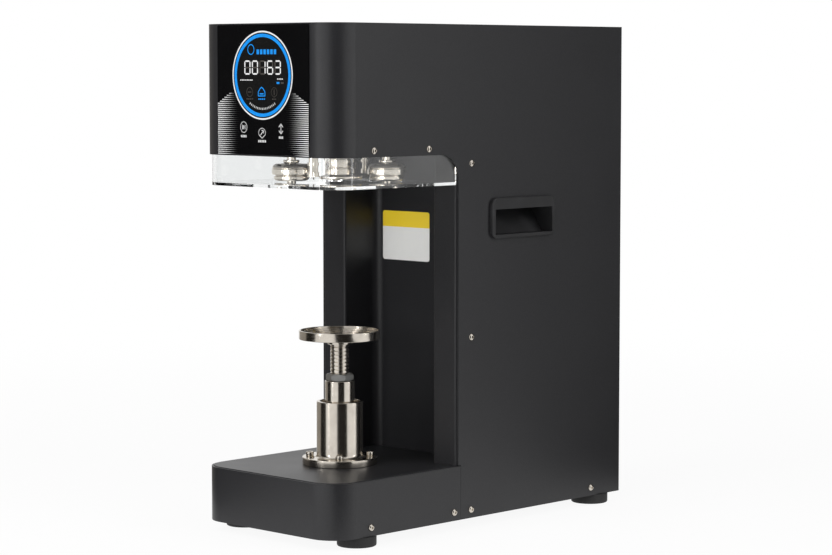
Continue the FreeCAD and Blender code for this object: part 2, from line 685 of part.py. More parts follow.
# ---------------------------------------------------------------- lifter
def lifter():
    """The flanged sleeve, the piston that rises in it, and the tray on its threaded stem."""
    sleeve = turned("lifter_sleeve", [
        ("piston_radius + running_gap", "base_top"), ("flange_radius - 0.8", "base_top"),
        ("flange_radius", "base_top + 0.8"), ("flange_radius", "flange_top - 0.8"),
        ("flange_radius - 0.8", "flange_top"), ("sleeve_radius + flange_fillet", "flange_top"),
        ("sleeve_radius + flange_fillet * 0.3", "flange_top + flange_fillet * 0.3"),
        ("sleeve_radius", "flange_top + flange_fillet"), ("sleeve_radius", "sleeve_top - 0.8"),
        ("sleeve_radius - 0.8", "sleeve_top"), ("sleeve_cup_radius", "sleeve_top"),
        ("sleeve_cup_radius", "sleeve_top - sleeve_cup_depth"),
        ("piston_radius + running_gap", "sleeve_top - sleeve_cup_depth")], "0", "axis_y")
    holes = circles(sketch_on(sleeve, "XY_Plane", "sleeve_holes", "flange_top"),
                    "bolt_radius + screw_clearance", ends("bolt_offset", "-bolt_offset", "bolt_offset"))
    pocket(sleeve, holes, "flange_thickness + 1")
    keep(sleeve, "lifter_sleeve")

    bolts = []
    for index, (across, along) in enumerate(ends("bolt_offset", "axis_y - bolt_offset",
                                                 "axis_y + bolt_offset")):
        name = f"sleeve_bolt_{index}"
        shank = rod(name + "_shank", "bolt_radius", "-bolt_length", "0")
        head = rod(name + "_head", "bolt_head_radius", "0", "bolt_head_height")
        socket = doc.addObject("Part::Prism", name + "_socket")
        socket.Polygon = 6
        bind(socket, Circumradius="bolt_head_radius * 0.54", Height="bolt_head_height")
        place(socket, "0", "0", "bolt_head_height / 2")
        bolt = cut(name, join(name + "_blank", shank, head), socket)
        place(bolt, across, along, "flange_top")
        bolts.append(bolt)
    keep(group("sleeve_screws", *bolts), "sleeve_screws")

    keep(turned("lift_piston", [
        ("lift_screw_radius + running_gap", "piston_bottom"), ("piston_radius", "piston_bottom"),
        ("piston_radius", "piston_top - 0.6"), ("piston_radius - 0.6", "piston_top"),
        ("stem_radius + running_gap", "piston_top"), ("stem_radius + running_gap", "stem_well"),
        ("lift_screw_radius + running_gap", "stem_well")], "0", "axis_y"), "lift_piston")
    keep(turned("tray_stem", [
        ("0", "stem_bottom"), ("stem_radius - 1", "stem_bottom"), ("stem_radius", "stem_bottom + 1"),
        ("stem_radius", "tray_bottom"), ("0", "tray_bottom")], "0", "axis_y"), "tray_stem")

    hexagon = doc.addObject("Part::Prism", "nut_blank")
    hexagon.Polygon = 6
    bind(hexagon, Circumradius="nut_circumradius", Height="nut_height")
    place(hexagon, "0", "0", "nut_bottom", "nut_turn")
    nut = cut("adjusting_nut", hexagon, rod("nut_bore", "stem_radius + running_gap",
                                            "nut_bottom - 1", "nut_top + 1"))
    place(nut, "0", "axis_y")
    keep(nut, "adjusting_nut")

    keep(turned("can_tray", [
        ("stem_radius", "boss_bottom"), ("tray_boss_radius - 0.6", "boss_bottom"),
        ("tray_boss_radius", "boss_bottom + 0.6"), ("tray_boss_radius", "tray_bottom"),
        ("tray_radius - 0.8", "tray_bottom"), ("tray_radius", "tray_bottom + 0.8"),
        ("tray_radius", "tray_top - 0.6"), ("tray_radius - 0.6", "tray_top"),
        ("tray_radius - tray_rim + 0.4", "tray_top"), ("tray_radius - tray_rim", "tray_top - 0.6"),
        ("tray_radius - tray_rim", "tray_top - tray_height * 0.32"),
        ("tray_ledge_radius", "tray_top - tray_height * 0.32"),
        ("tray_ledge_radius", "tray_top - tray_height * 0.5"),
        ("tray_floor_radius", "tray_top - tray_height * 0.5"),
        ("tray_floor_radius", "tray_top - tray_height * 0.68"),
        ("0", "tray_top - tray_height * 0.68"), ("0", "tray_bottom"),
        ("stem_radius", "tray_bottom")], "0", "axis_y"), "can_tray")


def lift_drive():
    """The lead screw that raises the piston, its gear motor and the bracket under the plate."""
    keep(turned("lift_screw", [
        ("0", "motor_top + seat_gap"), ("coupling_radius", "motor_top + seat_gap"),
        ("coupling_radius", "coupling_top"), ("lift_screw_radius", "coupling_top"),
        ("lift_screw_radius", "lift_screw_top - 1"), ("lift_screw_radius - 1", "lift_screw_top"),
        ("0", "lift_screw_top")], "0", "axis_y"), "lift_screw")
    keep(rod("lift_motor", "lift_motor_radius", "motor_top - lift_motor_height", "motor_top",
             "0", "axis_y"), "lift_motor")
    plate = block("bracket_plate", ("-bracket_half", "axis_y - bracket_half", "motor_top"),
                  ("2 * bracket_half", "2 * bracket_half", "bracket_thickness"))
    bore = rod("bracket_bore", "coupling_radius + 1", "motor_top - 1", "bracket_top + 1", "0",
               "axis_y")
    cheeks = [block(f"bracket_cheek_{side}", (across, "axis_y - bracket_half", "motor_top"),
                    ("bracket_thickness", "2 * bracket_half",
                     "base_top - base_plate_thickness - motor_top"))
              for side, across in (("left", "-bracket_half"),
                                   ("right", "bracket_half - bracket_thickness"))]
    lips = [block(f"bracket_lip_{side}", (across, "axis_y - bracket_half",
                                          "base_top - base_plate_thickness - bracket_thickness"),
                  ("12", "2 * bracket_half", "bracket_thickness"))
            for side, across in (("left", "-bracket_half - 12"), ("right", "bracket_half"))]
    keep(cut("lift_bracket", join("bracket_blank", plate, *cheeks, *lips), bore), "lift_bracket")
    props = [rod(f"base_prop_{index}", "prop_radius", "floor_top",
                 "base_top - base_plate_thickness", across, along)
             for index, (across, along) in enumerate(ends("nest_half - corner_radius",
                                                          "front_y + corner_radius + 14",
                                                          "column_y - 16"))]
    keep(group("base_props", *props), "base_props")


# ---------------------------------------------------------------- head structure
def head_structure():
    """The head plate on the column frame, the deck above it and what the deck carries."""
    plate = body("head_plate")
    outer = outline(sketch_on(plate, "XY_Plane", "head_plate_outer", "plate_bottom"), [
        ("-plate_half", "plate_front"), ("plate_half", "plate_front"), ("plate_half", "column_y"),
        ("nest_half", "column_y"), ("nest_half", "rear_y - plate_tail"),
        ("-nest_half", "rear_y - plate_tail"), ("-nest_half", "column_y"),
        ("-plate_half", "column_y")])
    pad(plate, outer, "plate_thickness")
    front_corners(plate, "corner_radius - gauge - guard_wall - 2 * seat_gap", "head_plate_corners")
    opening = circles(sketch_on(plate, "XY_Plane", "head_plate_opening"), "plate_opening_radius",
                      [("0", "axis_y")])
    pocket(plate, opening)
    side_holes(plate, HOUSING_SCREWS[:2], "head_plate_screw_holes")
    keep(plate, "head_plate")

    pillars = [rod(f"pillar_{index}", "pillar_radius", "plate_top", "deck_bottom", across, along)
               for index, (across, along) in enumerate(
                   ends("deck_half_width + 1", "axis_y - pillar_spread", "axis_y + pillar_spread"))]
    keep(group("deck_pillars", *pillars), "deck_pillars")

    deck = block("deck_blank", ("-deck_half_width - pillar_radius", "axis_y - deck_front_reach",
                                "deck_bottom"),
                 ("2 * (deck_half_width + pillar_radius)", "deck_front_reach + deck_rear_reach",
                  "deck_thickness"))
    keep(cut("bearing_deck", deck,
             rod("deck_bore", "spindle_radius + 2", "deck_bottom - 1", "deck_top + 1", "0", "axis_y"),
             rod("deck_rod_bore", "shift_rod_radius + running_gap", "deck_bottom - 1",
                 "deck_top + 1", "0", "axis_y - fork_reach")), "bearing_deck")

    posts, hollows = [], []
    for index, (across, along) in enumerate(ends("post_spread", "front_post_y", "rear_post_y")):
        corner = (f"{across} - post_size / 2", f"{along} - post_size / 2", "floor_top")
        posts.append(block(f"post_{index}", corner,
                           ("post_size", "post_size", "plate_bottom - floor_top")))
        inside = (f"{across} - post_size / 2 + post_wall", f"{along} - post_size / 2 + post_wall",
                  "floor_top - 1")
        hollows.append(block(f"post_hollow_{index}", inside,
                             ("post_size - 2 * post_wall", "post_size - 2 * post_wall",
                              "plate_bottom - floor_top + 2")))
    rails = [block(f"rail_{side}", (f"{across} - post_wall", "front_post_y + post_size / 2",
                                    "rail_level"),
                   ("2 * post_wall", "rear_post_y - front_post_y - post_size", "post_size"))
             for side, across in (("left", "-post_spread"), ("right", "post_spread"))]
    rails += [block(f"cross_rail_{place_name}", ("-post_spread + post_size / 2",
                                                 f"{along} - post_wall", "rail_level"),
                    ("2 * post_spread - post_size", "2 * post_wall", "post_size"))
              for place_name, along in (("front", "front_post_y"), ("rear", "rear_post_y"))]
    keep(cut("column_posts", group("post_blanks", *posts), *hollows), "column_posts")
    keep(group("column_rails", *rails), "column_rails")

    keep(turned("spindle_housing", [
        ("spindle_radius + 3", "deck_top"), ("housing_flange_radius", "deck_top"),
        ("housing_flange_radius", "deck_top + 6"), ("housing_radius + 3", "deck_top + 6"),
        ("housing_radius", "deck_top + 9"), ("housing_radius", "housing_top"),
        ("bearing_radius + 0.02", "housing_top"), ("bearing_radius + 0.02", "deck_top + 3"),
        ("spindle_radius + 3", "deck_top + 3")], "0", "axis_y"), "spindle_housing")
    bearings = []
    for name, low in (("lower", "deck_top + 3"), ("upper", "housing_top - bearing_height")):
        groove = f"{low} + 1.2"
        bearings.append(turned(f"{name}_bearing", [
            ("spindle_radius + running_gap", low), ("spindle_radius + 4", low),
            ("spindle_radius + 4.5", groove), ("bearing_radius - 4.5", groove),
            ("bearing_radius - 4", low), ("bearing_radius", low),
            ("bearing_radius", f"{low} + bearing_height"),
            ("bearing_radius - 4", f"{low} + bearing_height"),
            ("bearing_radius - 4.5", f"{low} + bearing_height - 1.2"),
            ("spindle_radius + 4.5", f"{low} + bearing_height - 1.2"),
            ("spindle_radius + 4", f"{low} + bearing_height"),
            ("spindle_radius + running_gap", f"{low} + bearing_height")], "0", "axis_y"))
    keep(group("spindle_bearings", *bearings), "spindle_bearings")

    leg_gap = "bridge_half - bridge_thickness"
    legs = [block(f"bridge_leg_{side}", (across, "axis_y - bridge_width / 2", "deck_top"),
                  ("bridge_thickness", "bridge_width", "bridge_top - deck_top"))
            for side, across in (("left", "-bridge_half"), ("right", leg_gap))]
    bar = block("bridge_bar", ("-bridge_half", "axis_y - bridge_width / 2", "bridge_bottom"),
                ("2 * bridge_half", "bridge_width", "bridge_thickness"))
    bore = rod("bridge_bore", "shaft_radius", "bridge_bottom - 1", "bridge_top + 1", "0", "axis_y")
    keep(cut("shaft_bridge", join("bridge_blank", *legs, bar), bore), "shaft_bridge")


def chuck():
    """The still chuck that enters the lid, hung on a shaft through the hollow spindle."""
    keep(turned("seaming_chuck", [
        ("0", "chuck_bottom"), ("chuck_flange_radius - 1.2", "chuck_bottom"),
        ("chuck_flange_radius", "chuck_bottom + 1"),
        ("chuck_flange_radius", "chuck_bottom + chuck_flange_height"),
        ("chuck_boss_radius", "chuck_bottom + chuck_flange_height"),
        ("chuck_boss_radius", "chuck_top - 1"), ("chuck_boss_radius - 1", "chuck_top"),
        ("shaft_radius", "chuck_top"), ("shaft_radius", "chuck_top - 12"), ("0", "chuck_top - 12")],
        "0", "axis_y"), "seaming_chuck")
    keep(turned("chuck_shaft", [
        ("0", "chuck_top - 12"), ("shaft_radius", "chuck_top - 12"), ("shaft_radius", "bridge_top"),
        ("0", "bridge_top")], "0", "axis_y"), "chuck_shaft")


def seaming_head():
    """What turns round the can: spindle, disc and pulley."""
    keep(turned("spindle", [
        ("spindle_bore", "disc_bottom - spindle_flange_height"),
        ("spindle_flange_radius", "disc_bottom - spindle_flange_height"),
        ("spindle_flange_radius", "disc_bottom"), ("spindle_radius", "disc_bottom"),
        ("spindle_radius", "spindle_top"), ("spindle_bore", "spindle_top")], "0", "axis_y"),
        "spindle")
    disc = turned("head_disc", [
        ("spindle_radius + 0.02", "disc_bottom"), ("disc_radius - 1", "disc_bottom"),
        ("disc_radius", "disc_bottom + 1"), ("disc_radius", "disc_top - 1"),
        ("disc_radius - 1", "disc_top"), ("spindle_radius + 0.02", "disc_top")], "0", "axis_y")
    place(disc, "0", "axis_y", "0", "arm_angle")
    holes = circles(sketch_on(disc, "XY_Plane", "disc_pivot_holes", "disc_top + 1"),
                    "pivot_radius + running_gap",
                    [("pivot_along", "pivot_across"), ("-pivot_along", "-pivot_across")])
    pocket(disc, holes, "disc_thickness + 2")
    keep(disc, "head_disc")
    keep(turned("spindle_pulley", [
        ("spindle_radius + 0.02", "pulley_bottom"), ("pulley_radius + 2", "pulley_bottom"),
        ("pulley_radius + 2", "belt_bottom - 1"), ("pulley_radius", "belt_bottom - 0.5"),
        ("pulley_radius", "belt_bottom + belt_width + 0.5"),
        ("pulley_radius + 2", "belt_bottom + belt_width + 1"), ("pulley_radius + 2", "pulley_top"),
        ("spindle_radius + 0.02", "pulley_top")], "0", "axis_y"), "spindle_pulley")


def seaming_arm(name, turn, finger_level):
    """One arm below the disc, its pivot shaft through the disc and its lever above it."""
    pivot = ("pivot_along", "pivot_across")
    roller = ("roller_reach", "0")
    run = "sqrt((roller_reach - pivot_along)^2 + pivot_across^2)"
    web = block(f"{name}_arm_web", ("0", "0", "0"), (run, "arm_web", "arm_thickness"))
    place(web, "pivot_along - arm_web / 2 * pivot_across / " + run,
          "pivot_across - arm_web / 2 * (roller_reach - pivot_along) / " + run, "arm_bottom",
          "-atan2(pivot_across; roller_reach - pivot_along)")
    arm = cut(f"{name}_arm",
              join(f"{name}_arm_blank", web,
                   rod(f"{name}_arm_pivot_boss", "arm_boss_radius", "arm_bottom", "arm_top", *pivot),
                   rod(f"{name}_arm_roller_boss", "arm_boss_radius", "arm_bottom", "arm_top",
                       *roller)),
              rod(f"{name}_arm_pivot_hole", "pivot_radius", "arm_bottom - 1", "arm_top + 1", *pivot),
              rod(f"{name}_arm_pin_hole", "roller_pin_radius", "arm_bottom - 1", "arm_top + 1",
                  *roller))
    place(arm, "0", "axis_y", "0", turn)
    keep(arm, f"{name}_arm")

    low = "arm_bottom - pivot_drop"
    lever_low = "disc_top + turn_gap"
    lever_top = "disc_top + turn_gap + lever_thickness"
    shaft = join(f"{name}_pivot_shaft",
                 rod(f"{name}_shaft_core", "pivot_radius", low, lever_low, *pivot),
                 rod(f"{name}_shaft_nut", "pivot_nut_radius", low, f"{low} + 5", *pivot),
                 rod(f"{name}_shaft_collar", "pivot_nut_radius", f"{low} + 12", f"{low} + 15",
                     *pivot))
    place(shaft, "0", "axis_y", "0", turn)
    keep(shaft, f"{name}_pivot_shaft")

    post = ("follower_post_reach * cos(follower_angle)", "follower_post_reach * sin(follower_angle)")
    reach = (f"sqrt((pivot_along - {post[0]})^2 + (pivot_across - {post[1]})^2)")
    strap = block(f"{name}_lever_strap", ("0", "0", "0"), (reach, "2 * post_radius",
                                                          "lever_thickness"))
    place(strap, f"{post[0]} + post_radius * (pivot_across - {post[1]}) / {reach}",
          f"{post[1]} - post_radius * (pivot_along - {post[0]}) / {reach}", lever_low,
          f"atan2(pivot_across - {post[1]}; pivot_along - {post[0]})")
    finger = doc.addObject("Part::Cylinder", f"{name}_finger")
    bind(finger, Radius="finger_radius",
         Height="follower_post_reach - tip_reach - finger_radius")
    place(finger, "0", "0", "0", "90", Y_AXIS)
    pointer = group(f"{name}_pointer", finger)
    place(pointer, "(tip_reach + finger_radius) * cos(follower_angle)",
          "(tip_reach + finger_radius) * sin(follower_angle)", finger_level, "follower_angle")
    tip = doc.addObject("Part::Sphere", f"{name}_tip")
    bind(tip, Radius="finger_radius")
    place(tip, "(tip_reach + finger_radius) * cos(follower_angle)",
          "(tip_reach + finger_radius) * sin(follower_angle)", finger_level)
    lever = join(f"{name}_lever", strap, pointer, tip,
                 rod(f"{name}_lever_boss", "arm_boss_radius - 1", lever_low, lever_top, *pivot),
                 rod(f"{name}_lever_post", "post_radius", lever_low,
                     f"{finger_level} + finger_radius", *post))
    place(lever, "0", "axis_y", "0", turn)
    keep(lever, f"{name}_lever")

    pin_low = "arm_bottom - roller_pin_drop"
    collar = "arm_bottom - roller_drop + roller_height + 0.5"
    pin = join(f"{name}_roller_pin",
               rod(f"{name}_pin_core", "roller_pin_radius", pin_low, "arm_top", *roller),
               rod(f"{name}_pin_collar", "collar_radius", collar, f"{collar} + collar_height",
                   *roller))
    place(pin, "0", "axis_y", "0", turn)
    keep(pin, f"{name}_roller_pin")


def seaming_roller(name, turn, groove):
    """A hardened roller with the seam groove of its operation, free on its pin."""
    low = "arm_bottom - roller_drop"
    part = turned(f"{name}_roller", [
        ("roller_pin_radius + running_gap", low), ("roller_radius - 4.6", low),
        ("roller_radius - 2.1", f"{low} + 1.6"), ("roller_radius - 2.1", f"{low} + 4.6"),
        (f"roller_radius - {groove}", f"{low} + 5"), (f"roller_radius - {groove}", f"{low} + 6"),
        ("roller_radius", f"{low} + 6.8"), ("roller_radius", f"{low} + 12.8"),
        ("roller_radius - 0.8", f"{low} + 13.1"), ("roller_radius - 0.8", f"{low} + 13.6"),
        ("roller_radius - 1.6", f"{low} + 13.8"), ("roller_radius - 1.6", f"{low} + 16"),
        ("roller_radius - 4.2", f"{low} + roller_height"),
        ("roller_pin_radius + running_gap", f"{low} + roller_height")])
    place(part, f"roller_reach * cos({turn})", f"axis_y + roller_reach * sin({turn})")
    keep(part, f"{name}_roller")


def cam():
    """The double-cone sleeve on the spindle, its fork and rod, and the actuator on the deck."""
    bore = "spindle_radius + running_gap"
    keep(turned("cam_sleeve", [
        (bore, "cam_middle - cam_half_height"), ("cam_end_radius", "cam_middle - cam_half_height"),
        ("cam_radius", "cam_middle"), ("cam_end_radius", "cam_middle + cam_half_height"),
        ("cam_end_radius", "cam_neck_top"), (bore, "cam_neck_top")], "0", "axis_y"), "cam_sleeve")
    plate = block("fork_plate", ("-fork_width / 2", "axis_y - fork_reach - fork_width / 2",
                                 "cam_neck_top - fork_thickness"),
                  ("fork_width", "fork_reach + fork_width / 2", "fork_thickness"))
    shank = rod("fork_rod", "shift_rod_radius", "cam_neck_top - fork_thickness",
                "deck_top + actuator_height / 2", "0", "axis_y - fork_reach")
    eye = rod("fork_eye", "cam_end_radius + 0.02", "cam_neck_top - fork_thickness - 1",
              "cam_neck_top + 1", "0", "axis_y")
    keep(cut("shift_fork", join("fork_blank", plate, shank), eye), "shift_fork")
    case = block("actuator_case", ("-actuator_side / 2", "axis_y - fork_reach - actuator_side / 2",
                                   "deck_top"),
                 ("actuator_side", "actuator_side", "actuator_height"))
    keep(cut("shift_actuator", case,
             rod("actuator_bore", "shift_rod_radius + running_gap", "deck_top - 1",
                 "deck_top + actuator_height - 4", "0", "axis_y - fork_reach")), "shift_actuator")


def drive():
    """The drive motor on the head plate, its pulley and the belt to the spindle."""
    top = "plate_top + motor_height"
    keep(turned("drive_motor", [
        ("0", "plate_top"), ("motor_radius", "plate_top"), ("motor_radius", f"{top} - 8"),
        ("motor_radius - 6", f"{top} - 3"), ("motor_radius - 6", top),
        ("motor_shaft_radius + running_gap", top),
        ("motor_shaft_radius + running_gap", f"{top} - 12"), ("0", f"{top} - 12")], "0", "motor_y"),
        "drive_motor")
    keep(turned("motor_shaft", [
        ("0", f"{top} - 12 + seat_gap"), ("motor_shaft_radius", f"{top} - 12 + seat_gap"),
        ("motor_shaft_radius", "pulley_top + 1"), ("0", "pulley_top + 1")], "0", "motor_y"),
        "motor_shaft")
    keep(turned("motor_pulley", [
        ("motor_shaft_radius", "pulley_bottom"), ("motor_pulley_radius + 2", "pulley_bottom"),
        ("motor_pulley_radius + 2", "belt_bottom - 1"), ("motor_pulley_radius", "belt_bottom - 0.5"),
        ("motor_pulley_radius", "belt_bottom + belt_width + 0.5"),
        ("motor_pulley_radius + 2", "belt_bottom + belt_width + 1"),
        ("motor_pulley_radius + 2", "pulley_top"), ("motor_shaft_radius", "pulley_top")],
        "0", "motor_y"), "motor_pulley")

    def loop(name, grow):
        """The space inside a belt run that stands off the pulley grooves by an offset."""
        span = "(motor_y - axis_y)"
        lean = f"(pulley_radius - motor_pulley_radius) / {span}"
        level = f"sqrt(1 - ({lean})^2)"
        large, small = f"(pulley_radius + {grow})", f"(motor_pulley_radius + {grow})"
        part = body(name + "_flank")
        corners = [(f"{large} * {level}", f"{large} * {lean}"),
                   (f"{small} * {level}", f"{span} + {small} * {lean}"),
                   (f"-{small} * {level}", f"{span} + {small} * {lean}"),
                   (f"-{large} * {level}", f"{large} * {lean}")]
        flank = outline(sketch_on(part, "XY_Plane", name + "_flank_outline", "belt_bottom"), corners)
        pad(part, flank, "belt_width")
        place(part, "0", "axis_y")
        high = "belt_bottom + belt_width"
        return join(name, part, rod(name + "_large", large, "belt_bottom", high, "0", "axis_y"),
                    rod(name + "_small", small, "belt_bottom", high, "0", "motor_y"))

    keep(cut("drive_belt", loop("belt_outside", "seat_gap + belt_thickness"),
             loop("belt_inside", "seat_gap")), "drive_belt")


def electrics():
    """Power supply, control board, mains inlet and the rocker switch in the rear panel."""
    supply_y = "rear_post_y - post_size / 2 - 2 - supply_length"
    keep(block("power_supply", ("-supply_width / 2", supply_y, "floor_top"),
               ("supply_width", "supply_length", "supply_height")), "power_supply")
    inside = "rear_inside - rear_gauge"
    keep(block("control_board", ("-board_width / 2", f"{inside} - board_standoff - board_thickness",
                                 "board_level"),
               ("board_width", "board_thickness", "board_height")), "control_board")
    legs = []
    for index, (across, level) in enumerate(ends("board_width / 2 - 6", "board_level + 6",
                                                 "board_level + board_height - 6")):
        leg = rod(f"board_leg_{index}", "screw_radius + 1", "0", "board_standoff")
        place(leg, across, inside, level, "90", X_AXIS)
        legs.append(leg)
    keep(group("board_standoffs", *legs), "board_standoffs")

    mouth = "rear_inside + 2"
    centre = "-socket_offset"
    blank = join("inlet_blank",
                 block("inlet_case", (f"{centre} - socket_width / 2", f"{inside} - socket_depth",
                                      "socket_level - socket_height / 2"),
                       ("socket_width", f"{mouth} - ({inside}) + socket_depth", "socket_height")),
                 block("inlet_flange", (f"{centre} - socket_width / 2 - 5", "rear_inside",
                                        "socket_level - socket_height / 2 - 3"),
                       ("socket_width + 10", "2", "socket_height + 6")))
    well = block("inlet_well", (f"{centre} - socket_width / 2 + 2", f"{mouth} - 16",
                                "socket_level - socket_height / 2 + 2"),
                 ("socket_width - 4", "17", "socket_height - 4"))
    blades = [block(f"inlet_blade_{index}", (f"{centre} + {shift} - 1", f"{mouth} - 17", level),
                    ("2", "10", "4"))
              for index, (shift, level) in enumerate((("-7", "socket_level - 4"),
                                                      ("0", "socket_level + 1"),
                                                      ("7", "socket_level - 4")))]
    keep(join("mains_inlet", cut("inlet_shell", blank, well), *blades), "mains_inlet")

    pivot_y = "rear_inside - rocker_radius + 3"
    case = join("switch_blank",
                block("switch_case_body", ("socket_offset - switch_width / 2", f"{inside} - 16",
                                           "socket_level - switch_height / 2"),
                      ("switch_width", f"{mouth} - ({inside}) + 16", "switch_height")),
                block("switch_flange", ("socket_offset - switch_width / 2 - 2", "rear_inside",
                                        "socket_level - switch_height / 2 - 2"),
                      ("switch_width + 4", "2", "switch_height + 4")))
    well = doc.addObject("Part::Cylinder", "switch_well")
    bind(well, Radius="rocker_radius + seat_gap", Height="switch_width - 4 + 2 * seat_gap")
    place(well, "socket_offset - switch_width / 2 + 2 - seat_gap", pivot_y, "socket_level", "90", Y_AXIS)
    keep(cut("switch_case", case, well), "switch_case")
    barrel = doc.addObject("Part::Cylinder", "rocker_barrel")
    bind(barrel, Radius="rocker_radius", Height="switch_width - 4")
    place(barrel, "0", "0", "0", "90", Y_AXIS)
    faces = []
    for index, lean in enumerate(("-rocker_lean", "rocker_lean - 90")):
        face = block(f"rocker_face_{index}", ("0", "0", "0"), ("switch_width", "20", "20"))
        place(face, "-1", "rocker_radius * 0.72", "0", lean, X_AXIS)
        faces.append(face)
    rocker = cut("power_rocker", barrel, *faces)
    place(rocker, "socket_offset - switch_width / 2 + 2", pivot_y, "socket_level", "-rocker_lean",
          X_AXIS)
    keep(rocker, "power_rocker")


# ---------------------------------------------------------------- build and write
upper_housing()
top_cover()
base_shell()
base_top_plate()
floor_plate()
column_panel()
rear_panel()
feet()
handles()
clear_guard()
control_panel()
housing_screws()
lifter()
lift_drive()
head_structure()
chuck()
seaming_head()
seaming_arm("first", "arm_angle + 180", "cam_middle + follower_offset")
seaming_arm("second", "arm_angle", "cam_middle - follower_offset")
seaming_roller("first", "arm_angle + 180", "3.6")
seaming_roller("second", "arm_angle", "2.8")
cam()
drive()
electrics()
doc.recompute()

failed = [thing.Label for thing in doc.Objects if {"Invalid", "Error"} & set(thing.State)]
for thing in nodes:
    if thing.Shape.isNull() or not thing.Shape.isValid() or not thing.Shape.Solids:
        failed.append(thing.Label + " shape")
if failed:
    raise SystemExit("failed: " + ", ".join(failed))

os.makedirs("parts", exist_ok=True)
for thing in nodes:
    thing.Shape.exportStep(f"parts/{thing.Label}.step")
    box = thing.Shape.BoundBox
    print(f"{thing.Label:20s} solids {len(thing.Shape.Solids)} volume {thing.Shape.Volume:10.0f} "
          f"x {box.XMin:.1f}..{box.XMax:.1f} y {box.YMin:.1f}..{box.YMax:.1f} "
          f"z {box.ZMin:.1f}..{box.ZMax:.1f}")
print(len(nodes), "nodes")
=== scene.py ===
"""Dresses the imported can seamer: finishes, turned parts, threads, panel lights and the studio."""

import json
import logging
import math
from dataclasses import dataclass, field
from enum import Enum
from typing import Any, Iterable, Sequence

import bmesh
import bpy
from mathutils import Euler, Matrix, Vector

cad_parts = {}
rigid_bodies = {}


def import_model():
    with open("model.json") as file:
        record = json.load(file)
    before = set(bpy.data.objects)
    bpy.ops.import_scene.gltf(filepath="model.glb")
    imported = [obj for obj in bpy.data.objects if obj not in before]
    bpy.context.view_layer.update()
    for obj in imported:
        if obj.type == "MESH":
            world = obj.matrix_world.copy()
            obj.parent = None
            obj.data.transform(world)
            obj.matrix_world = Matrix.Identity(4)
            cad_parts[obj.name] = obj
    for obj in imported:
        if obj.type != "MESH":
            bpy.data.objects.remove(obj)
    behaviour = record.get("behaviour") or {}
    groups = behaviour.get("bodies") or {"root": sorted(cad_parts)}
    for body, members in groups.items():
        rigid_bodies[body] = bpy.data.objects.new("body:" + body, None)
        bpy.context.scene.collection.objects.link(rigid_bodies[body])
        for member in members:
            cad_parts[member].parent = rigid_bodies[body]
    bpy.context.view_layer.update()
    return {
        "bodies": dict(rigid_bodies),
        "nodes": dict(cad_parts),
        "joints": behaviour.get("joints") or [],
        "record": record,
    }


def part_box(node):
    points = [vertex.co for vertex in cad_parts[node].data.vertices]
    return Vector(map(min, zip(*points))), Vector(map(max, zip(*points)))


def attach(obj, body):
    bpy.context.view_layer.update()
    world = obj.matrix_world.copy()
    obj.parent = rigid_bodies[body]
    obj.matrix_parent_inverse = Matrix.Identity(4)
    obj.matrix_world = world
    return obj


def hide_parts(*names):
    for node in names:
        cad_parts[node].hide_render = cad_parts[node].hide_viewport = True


log = logging.getLogger("can_seamer")

MM = 0.001
Point = tuple[float, float]
Point3 = tuple[float, float, float]
Colour = tuple[float, float, float]


class Body(Enum):
    """The rigid bodies that pieces ride on."""

    CABINET = "cabinet"
    LIFT = "lift"
    NUT = "nut"
    TRAY = "tray"
    FIRST_ARM = "first_arm"
    SECOND_ARM = "second_arm"
    FIRST_ROLLER = "first_roller"
    SECOND_ROLLER = "second_roller"


# ------------------------------------------------------------------ shader maths
class Wire:
    """A shader socket that takes part in ordinary arithmetic."""

    def __init__(self, graph: "Graph", socket: bpy.types.NodeSocket) -> None:
        """Holds a socket and the graph it belongs to."""
        self.graph = graph
        self.socket = socket

    def _join(self, operation: str, *values: "Wire | float") -> "Wire":
        """Adds one Math node."""
        inputs = dict(enumerate(values))
        return self.graph.node("ShaderNodeMath", inputs, operation=operation)

    def __add__(self, other: "Wire | float") -> "Wire":
        """Sum."""
        return self._join("ADD", self, other)

    def __radd__(self, other: float) -> "Wire":
        """Sum with the number first."""
        return self._join("ADD", other, self)

    def __sub__(self, other: "Wire | float") -> "Wire":
        """Difference."""
        return self._join("SUBTRACT", self, other)

    def __rsub__(self, other: float) -> "Wire":
        """Difference with the number first."""
        return self._join("SUBTRACT", other, self)

    def __mul__(self, other: "Wire | float") -> "Wire":
        """Product."""
        return self._join("MULTIPLY", self, other)

    def __rmul__(self, other: float) -> "Wire":
        """Product with the number first."""
        return self._join("MULTIPLY", other, self)

    def __truediv__(self, other: "Wire | float") -> "Wire":
        """Quotient."""
        return self._join("DIVIDE", self, other)

    def __pow__(self, other: "Wire | float") -> "Wire":
        """Power."""
        return self._join("POWER", self, other)

    def __abs__(self) -> "Wire":
        """Size without sign."""
        return self._join("ABSOLUTE", self)

    def above(self, edge: "Wire | float") -> "Wire":
        """One where the value is above an edge, else zero."""
        return self._join("GREATER_THAN", self, edge)

    def root(self) -> "Wire":
        """Square root."""
        return self._join("SQRT", self)

    def within(self, low: float, high: float) -> "Wire":
        """The value from low to high as a smooth 0 to 1.

        Args:
            low: the value that gives 0.
            high: the value that gives 1.

        Returns:
            A wire between 0 and 1.
        """
        inputs = {"Value": self, "From Min": low, "From Max": high}
        return self.graph.node("ShaderNodeMapRange", inputs, interpolation_type="SMOOTHSTEP")


